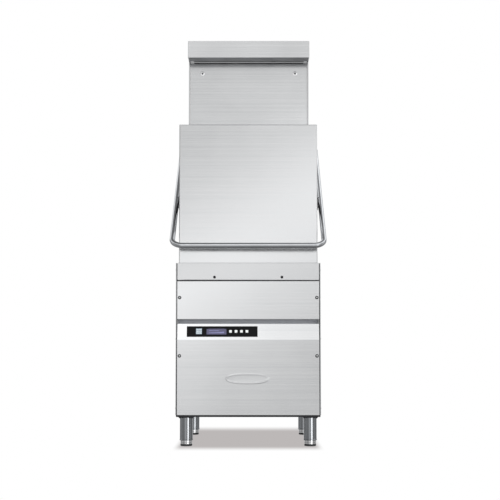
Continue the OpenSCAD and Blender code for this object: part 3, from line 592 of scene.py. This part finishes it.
def upright_corner(node):
    """True for the upright edges at a box's outer corners."""
    low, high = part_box(node)

    def test(a, b):
        at_x = min(abs(a.x - low.x), abs(a.x - high.x)) < SAME
        at_y = min(abs(a.y - low.y), abs(a.y - high.y)) < SAME
        return at_x and at_y and abs(a.x - b.x) < SAME_LINE and abs(a.y - b.y) < SAME_LINE
    return test


def outer_fold(node, rear=True):
    """True for the edges of a box's outline: uprights, and the rim of its top."""
    low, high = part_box(node)
    upright = upright_corner(node)

    def test(a, b):
        if not rear and max(a.y, b.y) > high.y - SAME:
            return False
        on_top = min(a.z, b.z) > high.z - SAME
        on_side = all(min(abs(p.x - low.x), abs(p.x - high.x)) < SAME for p in (a, b))
        on_front = all(min(abs(p.y - low.y), abs(p.y - high.y)) < SAME for p in (a, b))
        return upright(a, b) or (on_top and (on_side or on_front))
    return test


def panel_rim(node):
    """True for the outer upright edges of a side panel and for its upper outer edge."""
    low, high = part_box(node)
    outside = high.x if high.x > 0 else low.x

    def test(a, b):
        on_side = max(abs(a.x - outside), abs(b.x - outside)) < SAME
        upright = abs(a.y - b.y) < SAME_LINE
        return on_side and (upright or min(a.z, b.z) > high.z - SAME)
    return test


def front_fold(node):
    """True for the level edges at the top and bottom of a panel's front face."""
    low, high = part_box(node)

    def test(a, b):
        in_front = max(abs(a.y - low.y), abs(b.y - low.y)) < SAME
        at_end = min(abs(a.z - low.z), abs(a.z - high.z)) < SAME
        return in_front and at_end and abs(a.z - b.z) < SAME_LINE and abs(a.x - b.x) > 0.1
    return test


refined("hood_shell", HOOD, 0.35, 4.5, outer_fold("hood_shell", rear=False))
refined("tower_cap", CAP, 0.35, 1.8, outer_fold("tower_cap"))
refined("tower_shell", SHEET_Y, 0.3)
refined("side_panel_left", SHEET_Y, 0.3, 2.8, panel_rim("side_panel_left"))
refined("side_panel_right", SHEET_Y, 0.3, 2.8, panel_rim("side_panel_right"))
for name, look in (("front_rim_panel", RIM), ("upper_front_panel", SHEET_X), ("lower_front_panel", SHEET_X)):
    refined(name, look, 0.4, 2.2, front_fold(name))
refined("tower_front_cover", TOWER, 0.3)
for name in ("splash_panel", "rear_panel", "corner_posts"):
    refined(name, SHEET_X, 0.3)
refined("base_tray", SHADED_SKIRT, 0.4)
refined("outlet_strip", SHADED_BAFFLE, 0.4)
refined("hood_liner", LINER, 0.3)
refined("wash_tank", LINER, 0.4)
refined("rack_rails", TUBE, 0.5)
refined("hood_guides", SHEET_Z, 0.5)
refined("control_overlay", OVERLAY, 0.3)
refined("display_window", DISPLAY, 0.15)
refined("hood_channels", BLACK, 0.6)

# ---------------------------------------------------------------- handle

JOINTS = {j["name"]: j for j in frame["joints"]}
TUBE_R = 12.5 * MM
BEND_R = 48 * MM
ARM_START = 14 * MM
ARM_STEPS = 12


def handle_places():
    """Arm offset, pivot, direction from the pivot to the bar and distance, all from the CAD frame."""
    low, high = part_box("handle_bar")
    pivot = Vector((0, *JOINTS["handle_swing"]["pos_m"][1:]))
    bar = Vector((0, low.y + TUBE_R, low.z + TUBE_R))
    reach = bar - pivot
    return high.x - TUBE_R, pivot, reach.normalized(), reach.length


def arc(centre, first, second, radius, steps=16):
    """A quarter turn from centre + first to centre + second"""
    return [centre + radius * (math.cos(t) * first + math.sin(t) * second)
            for t in (math.pi / 2 * k / steps for k in range(steps + 1))]


# The clamp round the shaft at the arm's end, with its cap screw: (radius, height) in millimetres
CLAMP = [(10, -12), (19, -12), (20, -11), (20, 7), (19, 8), (12.5, 8), (12.5, 8.2), (12, 11.4),
         (10.5, 12), (6, 12), (6, 9.5), (0, 9.5)]


def make_handle():
    """The bar and both arms as one bent tube, and a clamp round the shaft at the end of each arm"""
    arm_x, pivot, ahead, length = handle_places()
    across = Vector((1, 0, 0))
    path = []
    for side in (-1, 1):
        arm = pivot + side * arm_x * across
        bend = arm + ahead * (length - BEND_R) - side * BEND_R * across
        points = [arm + ahead * ARM_START]
        points += [arm + ahead * (length - BEND_R) * k / ARM_STEPS for k in range(2, ARM_STEPS)]
        points += arc(bend, side * across, ahead, BEND_R)
        path += points if side < 0 else points[::-1]
    bm = bmesh.new()
    sweep(bm, path, TUBE_R, 32)
    for side in (-1, 1):
        lathe(bm, mm(CLAMP, side), pivot + side * arm_x * across, "x")
    handle = finish_mesh("handle_tube", bm, TUBE, "handle", 40)
    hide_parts("handle_bar")


# How far out the roller's inner face and the bracket's two faces are
ROLLER_X = 323 * MM
BRACKET_X = (332.2 * MM, 333.8 * MM)
ROLLER = [(0, 0), (8.8, 0), (10, 1.2), (10, 7.8), (8.8, 9), (4.5, 9), (4.5, 12)]
# The bracket's corners in millimetres: along the arm, and square to it
BRACKET = ((-34, 12), (34, 12), (34, -6), (14, -30), (-14, -30), (-34, -6))


def make_glides():
    """The boss on each arm: a nylon roller, its pin and the bracket plate that carries it"""
    bm = bmesh.new()
    plates = bmesh.new()
    ahead = handle_places()[2]
    up = Vector((0, -ahead.z, ahead.y)) if ahead.y > 0 else Vector((0, ahead.z, -ahead.y))
    for low, high in islands("handle_glides"):
        side = 1 if low.x > 0 else -1
        centre = (low + high) / 2
        lathe(bm, mm(ROLLER, side), Vector((ROLLER_X * side, centre.y, centre.z)), "x", 40)
        rim = [centre + ahead * along * MM + up * across * MM for along, across in BRACKET]
        front, back = ([plates.verts.new((side * x, p.y, p.z)) for p in rim] for x in BRACKET_X)
        plates.faces.new(front)
        plates.faces.new(back[::-1])
        for k in range(len(rim)):
            n = (k + 1) % len(rim)
            plates.faces.new((front[k], back[k], back[n], front[n]))
    glides = finish_mesh("glide_rollers", bm, BLACK, "handle", 40)
    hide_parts("handle_glides")
    bmesh.ops.bevel(plates, geom=sharp_edges(plates), offset=0.4 * MM, segments=2, affect="EDGES",
                    profile=0.5)
    finish_mesh("glide_brackets", plates, DARK_SCREW, "handle")


# ---------------------------------------------------------------- fasteners, legs and feet


def islands(node):
    """(lowest, highest) corner of each separate solid in a CAD node"""
    bm = bmesh.new()
    bm.from_mesh(frame["nodes"][node].data)
    bmesh.ops.remove_doubles(bm, verts=bm.verts, dist=SAME_LINE)
    left, found = set(bm.verts), []
    while left:
        stack, group = [left.pop()], []
        while stack:
            v = stack.pop()
            group.append(v.co.copy())
            for edge in v.link_edges:
                other = edge.other_vert(v)
                if other in left:
                    left.remove(other)
                    stack.append(other)
        found.append((Vector(min(p[i] for p in group) for i in range(3)),
                      Vector(max(p[i] for p in group) for i in range(3))))
    bm.free()
    return sorted(found, key=lambda box: (round(box[0].z, 3), box[0].x))


def screw_head(bm, centre, radius, direction="y", sign=-1, proud=2.5):
    """A pan head with a hexagon socket; centre lies on the sheet."""
    r, h = radius, proud * MM
    head = [(0.3 * r, -0.2 * MM), (r, -0.2 * MM), (r, 0.30 * h), (0.96 * r, 0.55 * h), (0.84 * r, 0.80 * h),
            (0.66 * r, 0.96 * h), (0.50 * r, h), (0.42 * r, h)]
    socket = [(0.42 * r, h), (0.38 * r, h - 0.3 * MM), (0.38 * r, 0.15 * h), (0, 0.1 * h)]
    for profile, sides in ((head, 36), (socket, 6)):
        lathe(bm, [(a, sign * b) for a, b in profile], centre, direction, sides)


def washer(bm, centre, inner, outer, thick=0.9):
    """A flat ring under a screw head on a front panel"""
    rows = [(inner, 0), (inner, thick), (outer - 0.6, thick), (outer - 0.15, thick * 0.7), (outer, 0.1),
            (outer, -0.2)]
    lathe(bm, mm(rows, -1), centre, "y", 40)


# A CAD head stands this far proud of its sheet
HEAD_PROUD = 2.5 * MM
# Width of the washer that shows round a panel screw, and the tower's washer and head, in millimetres
PANEL_WASHER = 3.4
TOWER_WASHER = (4.4, 11.5)
TOWER_HEAD = 4.8


def make_screws():
    """Screws of the front panels, the tower cover and the rim, where the CAD frame has them"""
    heads, rings, lights, sockets = bmesh.new(), bmesh.new(), bmesh.new(), bmesh.new()
    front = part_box("upper_front_panel")[0].y
    for low, high in islands("panel_screws"):
        on_body = low.y < front + 0.05
        centre = Vector(((low.x + high.x) / 2, low.y + HEAD_PROUD, (low.z + high.z) / 2))
        radius = (high.x - low.x) / 2
        if on_body:
            screw_head(heads, centre, radius - PANEL_WASHER * MM)
            washer(rings, centre, radius / MM - PANEL_WASHER - 0.2, radius / MM)
        else:
            washer(lights, centre, *TOWER_WASHER)
            screw_head(sockets, centre, TOWER_HEAD * MM)
    piece = finish_mesh("panel_screw_heads", heads, SCREW, "machine_body")
    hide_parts("panel_screws")
    finish_mesh("panel_screw_washers", rings, DARK_SCREW, "machine_body")
    finish_mesh("tower_screw_washers", lights, HIGHLIGHT_WASHER, "machine_body")
    finish_mesh("tower_screw_heads", sockets, DARK_SCREW, "machine_body")
    bm = bmesh.new()
    for low, high in islands("rim_screws"):
        centre = Vector(((low.x + high.x) / 2, low.y + HEAD_PROUD, (low.z + high.z) / 2))
        screw_head(bm, centre, (high.x - low.x) / 2)
    piece = finish_mesh("rim_screw_heads", bm, DARK_SCREW, "machine_body")
    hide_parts("rim_screws")


# Heights above the floor, and how far the rear heads' feet lie in the sheet and their tops rise from there
TOWER_SCREWS_Z = (0.86, 1.12, 1.38, 1.64)
REAR_SUNK = 0.3 * MM
REAR_RISE = 0.55
SIDE_INSET = 24 * MM
REAR_INSET = 12 * MM
TOWER_INSET = 16 * MM


def make_side_screws():
    """Button heads along the edges of both side panels, and low flush heads at the rear"""
    bm = bmesh.new()
    for node, side in (("side_panel_left", -1), ("side_panel_right", 1)):
        low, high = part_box(node)
        x = high.x if side > 0 else low.x
        for y in (low.y + SIDE_INSET, high.y - SIDE_INSET):
            for z in (low.z + 30 * MM, (low.z + high.z) / 2, high.z - 32 * MM):
                screw_head(bm, Vector((x, y, z)), 5.5 * MM, "x", side, 2.2)
    finish_mesh("side_screw_heads", bm, SCREW, "machine_body")
    bm = bmesh.new()
    low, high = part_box("rear_panel")
    tower_low, tower_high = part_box("tower_shell")
    left, right = low.x + REAR_INSET, high.x - REAR_INSET
    places = [(x, z) for x in (left, 0, right) for z in (low.z + 20 * MM, high.z - 20 * MM)]
    places += [(x, (low.z + high.z) / 2) for x in (left, right)]
    places += [(x, z) for x in (tower_low.x + TOWER_INSET, tower_high.x - TOWER_INSET)
               for z in TOWER_SCREWS_Z + (tower_high.z - 24 * MM,)]
    for x, z in places:
        screw_head(bm, Vector((x, high.y - REAR_SUNK, z)), 5 * MM, "y", 1, REAR_RISE)
    finish_mesh("rear_screw_heads", bm, SCREW, "machine_body")


# Half sizes, and rivets from the plate's centre, in millimetres
PLATE_HALF = (45, 28)
RIVET_OFF = (40, 23)
RIVET = [(2.2, 0.1), (2.0, 0.25), (1.2, 0.29), (0, 0.3)]


def make_rating_plate():
    """A blank plate with four rivets on the rear panel"""
    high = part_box("rear_panel")[1]
    plate, rivets = bmesh.new(), bmesh.new()
    x, z, face = high.x - 110 * MM, high.z - 90 * MM, high.y
    wide, tall = (size * MM for size in PLATE_HALF)
    block(plate, (x - wide, face - 0.6 * MM, z - tall), (x + wide, face + 0.15 * MM, z + tall), 0.3 * MM)
    for dx in (-1, 1):
        for dz in (-1, 1):
            lathe(rivets, mm(RIVET), (x + dx * RIVET_OFF[0] * MM, face, z + dz * RIVET_OFF[1] * MM), "y", 20)
    finish_mesh("blank_plate", plate, FINS, "machine_body")
    finish_mesh("blank_plate_rivets", rivets, SCREW, "machine_body")


# The leg's tube radius, the foot's top and its pad's top, in millimetres
LEG_R = 30
FOOT_Z = 26
PAD_Z = 9
LEG = [(27, FOOT_Z + 2), (28, FOOT_Z + 0.3), (29.6, FOOT_Z), (LEG_R + 0.8, FOOT_Z + 0.6),
       (LEG_R + 0.8, FOOT_Z + 5), (LEG_R, FOOT_Z + 6), (LEG_R, 130), (20, 130)]
COLLAR = [(20, PAD_Z), (26.2, PAD_Z), (27, PAD_Z + 0.8), (27, 15), (25.8, 15.6), (25.8, 16.8), (27, 17.4),
          (27, FOOT_Z - 0.6), (20, FOOT_Z - 0.4)]
PAD = [(0, 0), (25.4, 0), (26.6, 0.8), (27, 2), (27, 6.6), (26.4, 8.4), (25, PAD_Z), (0, PAD_Z)]
PAD_RIB = [(0, 2), (0.7, 2.3), (0.7, 6.6), (0, 7)]
PAD_RIBS = 24
RIB_R = 26.6 * MM
PLATE_BOLT = [(0, -3), (2.6, -3), (3, -2.6), (3, 0)]
BOLT_OFF = 28 * MM
PLATE_THICK = 4 * MM


def low_strip(*pieces):
    """A low softbox at the front right, which lights only the pieces given"""
    lamp = area_light("low_strip", (1.7, -3.0, -0.12), (0, 0, 0), (1.2, 0.6), 8)
    lamp.visible_glossy = True
    lamp.visible_camera = False
    group = bpy.data.collections.new("low_strip_receivers")
    for piece in pieces:
        group.objects.link(piece)
    lamp.light_linking.receiver_collection = group


def make_legs():
    """Each leg: a tube under its plate, a grooved collar and a ribbed pad"""
    bm, collars, pads, plates = bmesh.new(), bmesh.new(), bmesh.new(), bmesh.new()
    for low, high in islands("legs"):
        if high.z < 0.1:
            continue
        x, y, top = (low.x + high.x) / 2, (low.y + high.y) / 2, high.z
        lathe(bm, mm(LEG), (x, y, 0), "z", 64)
        block(plates, (low.x, low.y, top - PLATE_THICK), (high.x, high.y, top), 0.8 * MM)
        for dx in (-1, 1):
            for dy in (-1, 1):
                place = (x + dx * BOLT_OFF, y + dy * BOLT_OFF, top - PLATE_THICK)
                lathe(plates, mm(PLATE_BOLT), place, "z", 6)
        lathe(collars, mm(COLLAR), (x, y, 0), "z", 64)
        lathe(pads, mm(PAD), (x, y, 0), "z", 48)
        for k in range(PAD_RIBS):
            a = 2 * math.pi * k / PAD_RIBS
            lathe(pads, mm(PAD_RIB), (x + RIB_R * math.cos(a), y + RIB_R * math.sin(a), 0), "z", 8)
    legs = finish_mesh("leg_tubes", bm, LEG_TUBE_SHADED, "machine_body")
    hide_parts("legs")
    finish_mesh("leg_plates", plates, SHADED_SKIRT, "machine_body")
    rings = finish_mesh("foot_collars", collars, SCREW, "machine_body")
    feet = finish_mesh("foot_pads", pads, FOOT, "machine_body")
    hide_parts("levelling_feet")
    low_strip(legs, rings)


# ---------------------------------------------------------------- controls


def band_frame(centre):
    """Local axes on the sloped band: x across, y into the band, z up the slope"""
    into = Vector(JOINTS["start_button_press"]["axis"]).normalized()
    up = Vector((0, -into.z, into.y))
    across = Vector((1, 0, 0))
    turn = Matrix((across, into, up)).transposed().to_4x4()
    turn.translation = centre
    return turn


def key_centre(node):
    """The middle of a CAD key"""
    low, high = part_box(node)
    return (low + high) / 2


# In millimetres: how deep a key is, how far the start button's cap lies behind its tiles, and half sizes
KEY_DEPTH = 9.0
TILE_DEPTH = 0.45
START_HALF = 14
KEY_HALF = 6.1
# A tile's half size as a share of its pitch, and the grid's width as a share of the cap's
TILE_HALF = 0.41
GRID_SHARE = 0.90


def make_key(node, half, tiles=0):
    """A key cap with rounded corners; the start button carries a grid of lighter tiles."""
    bm = bmesh.new()
    front = -KEY_DEPTH / 2
    back = -front
    if tiles:
        front += TILE_DEPTH
    block(bm, (-half * MM, front * MM, -half * MM), (half * MM, back * MM, half * MM), 0.6 * MM, 3)
    place = band_frame(key_centre(node))
    bm.transform(place)
    piece = finish_mesh(node + "_cap", bm, START if tiles else KEY, BODY_OF[node], 30)
    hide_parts(node)
    if not tiles:
        return
    bm = bmesh.new()
    pitch = 2 * half * GRID_SHARE / tiles
    size = pitch * TILE_HALF
    for i in range(tiles):
        for j in range(tiles):
            x, z = ((k - (tiles - 1) / 2) * pitch for k in (i, j))
            block(bm, ((x - size) * MM, (front - TILE_DEPTH) * MM, (z - size) * MM),
                  ((x + size) * MM, (front + 0.3) * MM, (z + size) * MM), 0.2 * MM)
    bm.transform(place)
    finish_mesh(node + "_tiles", bm, START_TILE, BODY_OF[node], 30)


BARS = 14
BAR_HALF = 1.3 * MM


def make_display():
    """Bezel notch and a few plain level bars on the display; its sizes are shares of the window"""
    low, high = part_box("display_window")
    width, place = high.x - low.x, (low + high) / 2
    height = math.hypot(high.z - low.z, high.y - low.y) - 1.2 * MM
    bars, frame_bars = bmesh.new(), bmesh.new()
    face = -0.52 * MM
    behind = face - 0.06 * MM
    foot = -0.30 * height
    for i in range(BARS):
        x = (-0.36 + 0.72 * i / (BARS - 1)) * width
        tall = (0.10 + 0.012 * i) * height
        block(bars, (x - BAR_HALF, behind, foot), (x + BAR_HALF, face, foot + tall))
    block(bars, (-0.38 * width, behind, 0.10 * height), (0.12 * width, face, 0.15 * height))
    top = height / 2
    for x0, x1, z0 in ((-0.5, 0.5, 0.90), (-0.5, -0.40, 0.80), (0.40, 0.5, 0.80)):
        block(frame_bars, (x0 * width, face - 0.1 * MM, z0 * top), (x1 * width, face + 0.02 * MM, top))
    for bm, name, mat, slot in ((bars, "display_bars", DISPLAY_MARK, "display"),
                                (frame_bars, "display_bezel", OVERLAY, "black_overlay")):
        bm.transform(band_frame(place))
        finish_mesh(name, bm, mat, "machine_body")


# Height above the floor, place across and half sizes, in millimetres, and how square each quarter turn is
BADGE_Z = 309
BADGE_X = -4
BADGE_HALF = (100, 26)
BADGE_SQUARE = (0.8, 0.9)
# How far the outline grows, and how far it stands behind the panel's face
BADGE_RIM = ((0, 0.1), (-1.5, -0.3), (-3.0, -0.75), (-4.5, -0.9), (-6.5, -0.9), (-8.0, -0.75), (-9.5, -0.5),
             (-12, -0.45))
BADGE_STEPS = 96


def make_badge():
    """A blank embossed oval on the lower panel"""
    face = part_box("lower_front_panel")[0].y
    centre = Vector((BADGE_X * MM, face, BADGE_Z * MM))
    bm = bmesh.new()
    steps, loops = BADGE_STEPS, []
    for grow, proud in BADGE_RIM:
        loop = []
        for k in range(steps):
            a = 2 * math.pi * k / steps
            x, z = ((half + grow) * MM * math.copysign(abs(part) ** power, part)
                    for half, part, power in zip(BADGE_HALF, (math.cos(a), math.sin(a)), BADGE_SQUARE))
            loop.append(bm.verts.new(centre + Vector((x, proud * MM, z))))
        loops.append(loop)
    for one, two in zip(loops, loops[1:]):
        for k in range(steps):
            n = (k + 1) % steps
            bm.faces.new((one[k], two[k], two[n], one[n]))
    bm.faces.new(loops[-1])
    finish_mesh("blank_badge", bm, SHEET_X, "machine_body", 50)


# Top of the left and right gaps above the lower panel's foot, and the floor of the recess above the band
SIDE_GAP_TOP = 345 * MM
LEDGE_Z = 560 * MM
FOAM_DEPTH = 9 * MM
FOAM_SET_BACK = 3 * MM
CHANNEL_RIBS = 3


def make_seals():
    """Black foam behind the gaps between the outer panels, and the grey channel at the back of the recess"""
    foam, channel = bmesh.new(), bmesh.new()
    rim, upper, lower = (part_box(n) for n in ("front_rim_panel", "upper_front_panel", "lower_front_panel"))
    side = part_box("side_panel_right")
    front = rim[0].y
    half = rim[1].x
    deep = front + FOAM_DEPTH
    block(foam, (-half, front + 1.6 * MM, upper[1].z - 0.5 * MM), (half, deep, rim[0].z + 0.5 * MM))
    for s in (-1, 1):
        inner, outer = s * (half - 0.5 * MM), s * (side[1].x - 1.6 * MM)
        left, right = min(inner, outer), max(inner, outer)
        for low, high in ((upper[0].z, rim[1].z - 2 * MM), (lower[0].z, lower[0].z + SIDE_GAP_TOP)):
            block(foam, (left, front + FOAM_SET_BACK, low), (right, deep, high))
    back = lower[1].y - 1.5 * MM
    half -= 1 * MM
    foot, head = LEDGE_Z + 0.2 * MM, lower[1].z
    block(channel, (-half, back - 1.6 * MM, foot), (half, back - 0.2 * MM, head), 0.4 * MM)
    for k in range(CHANNEL_RIBS):
        z = LEDGE_Z + (5 + 7 * k) * MM
        block(channel, (-half, back - 2.2 * MM, z), (half, back - 1.5 * MM, z + 1.2 * MM), 0.25 * MM)
    finish_mesh("gap_foam", foam, SEAL, "machine_body")
    finish_mesh("recess_channel", channel, CHANNEL, "machine_body")


WIRE_R = 1.4 * MM
COIL_R = 11.4 * MM
HOOK_R = 8 * MM
TURNS = 62
TURN_STEPS = 14
HOOK_STEPS = 12
# The coil tapers towards the hooks over this many points, down to this share of its radius
TAPER_STEPS = 10
TAPER_END = 0.25


def make_springs():
    """Two coil springs with hooked ends, fixed to the machine body"""
    for number, (low, high) in enumerate(islands("counterbalance_springs")):
        x, y = (low.x + high.x) / 2, (low.y + high.y) / 2
        start, end = low.z + 16 * MM, high.z - 10 * MM
        path = []
        for k in range(HOOK_STEPS):
            a = -math.pi / 2 + 1.75 * math.pi * k / (HOOK_STEPS - 1)
            path.append(Vector((x, y - HOOK_R * math.sin(a), low.z + 9.5 * MM - HOOK_R * math.cos(a))))
        steps = TURNS * TURN_STEPS
        for k in range(steps + 1):
            a = 2 * math.pi * k / TURN_STEPS
            grow = min(1.0, k / TAPER_STEPS, (steps - k) / TAPER_STEPS) * (1 - TAPER_END) + TAPER_END
            path.append(Vector((x + COIL_R * grow * math.cos(a), y + COIL_R * grow * math.sin(a),
                                start + (end - start) * k / steps)))
        path.append(Vector((x, y, high.z - 4 * MM)))
        path.append(Vector((x, y, high.z + 3 * MM)))
        bm = bmesh.new()
        sweep(bm, path, WIRE_R, 8)
        piece = finish_mesh(f"spring_coil_{number + 1}", bm, SCREW, "machine_body", 60)
        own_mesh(piece)
        if number == 0:
            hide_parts("counterbalance_springs")


THREADS = 12
THREAD_PITCH = 1.8
CLIP_RINGS = ([(14, 3), (14.9, 1.6), (14.9, 4.2), (14, 5.4)], [(14, 8), (14.9, 9.4), (14.9, 12), (14, 13)])
GLAND_CONE = [(7.4, 0.3), (9.6, 0.3), (11, 3), (11.6, 8), (7.4, 8)]
GLAND_NUT = [(7.4, 8.2), (14, 8.4), (14.6, 9), (14.6, 16), (14, 16.6), (7.4, 16.8)]


def make_bottom_fittings():
    """Thread on the water inlet, clip on the drain stub and hexagon on the cable gland, under the base"""
    inlet, clip, gland = bmesh.new(), bmesh.new(), bmesh.new()
    places = {m["name"]: m["pos_m"] for m in frame["record"]["mounts"]}
    rows = [(10.2, 0), (12, 0)]
    for k in range(THREADS):
        rows += [(12.2, 0.4 + THREAD_PITCH * k), (13.1, 1.3 + THREAD_PITCH * k)]
    rows += [(12.2, 22.4), (12.2, 23.6), (10.2, 23.6)]
    lathe(inlet, mm(rows), places["water_inlet"], "z", 40)
    for ring in CLIP_RINGS:
        lathe(clip, mm(ring), places["drain_outlet"], "z", 40)
    lathe(gland, mm(GLAND_CONE), places["supply_gland"], "z", 32)
    lathe(gland, mm(GLAND_NUT), places["supply_gland"], "z", 6)
    finish_mesh("inlet_thread", inlet, BRASS, "machine_body")
    finish_mesh("drain_clip", clip, GREY, "machine_body")
    finish_mesh("gland_nut", gland, BLACK, "machine_body")


# Nozzles to either side of a wash arm's middle, their pitch, and how far from the arm's centre line
NOZZLES_EACH_WAY = 5
NOZZLE_PITCH = 40 * MM
NOZZLE_OFF = 9.5 * MM
HUB_CLEAR = 50 * MM
NOZZLE = [(4.2, -0.4), (4.2, 0.5), (3.4, 0.9), (2.2, 0.2)]


def make_wash_nozzles():
    """Fan nozzles along both wash arms"""
    for node, up in (("lower_wash_arm", 1), ("upper_wash_arm", -1)):
        low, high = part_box(node)
        bm = bmesh.new()
        hub = (low + high) / 2
        arm_face = (low.z + 20 * MM) if up > 0 else (low.z + 4 * MM)
        for k in range(-NOZZLES_EACH_WAY, NOZZLES_EACH_WAY + 1):
            for side in (-1, 1):
                x = NOZZLE_PITCH * k
                if abs(x) < HUB_CLEAR:
                    continue
                lathe(bm, mm(NOZZLE, up), (hub.x + x, hub.y + side * NOZZLE_OFF, arm_face), "z", 20)
        finish_mesh(node + "_nozzles", bm, TUBE, node)


make_handle()
make_glides()
make_screws()
make_side_screws()
make_rating_plate()
make_legs()
make_key("start_button", START_HALF, 3)
for number in (1, 2, 3, 4):
    make_key(f"key_{number}", KEY_HALF)
make_display()
make_badge()
make_seals()
make_springs()
make_bottom_fittings()
make_wash_nozzles()
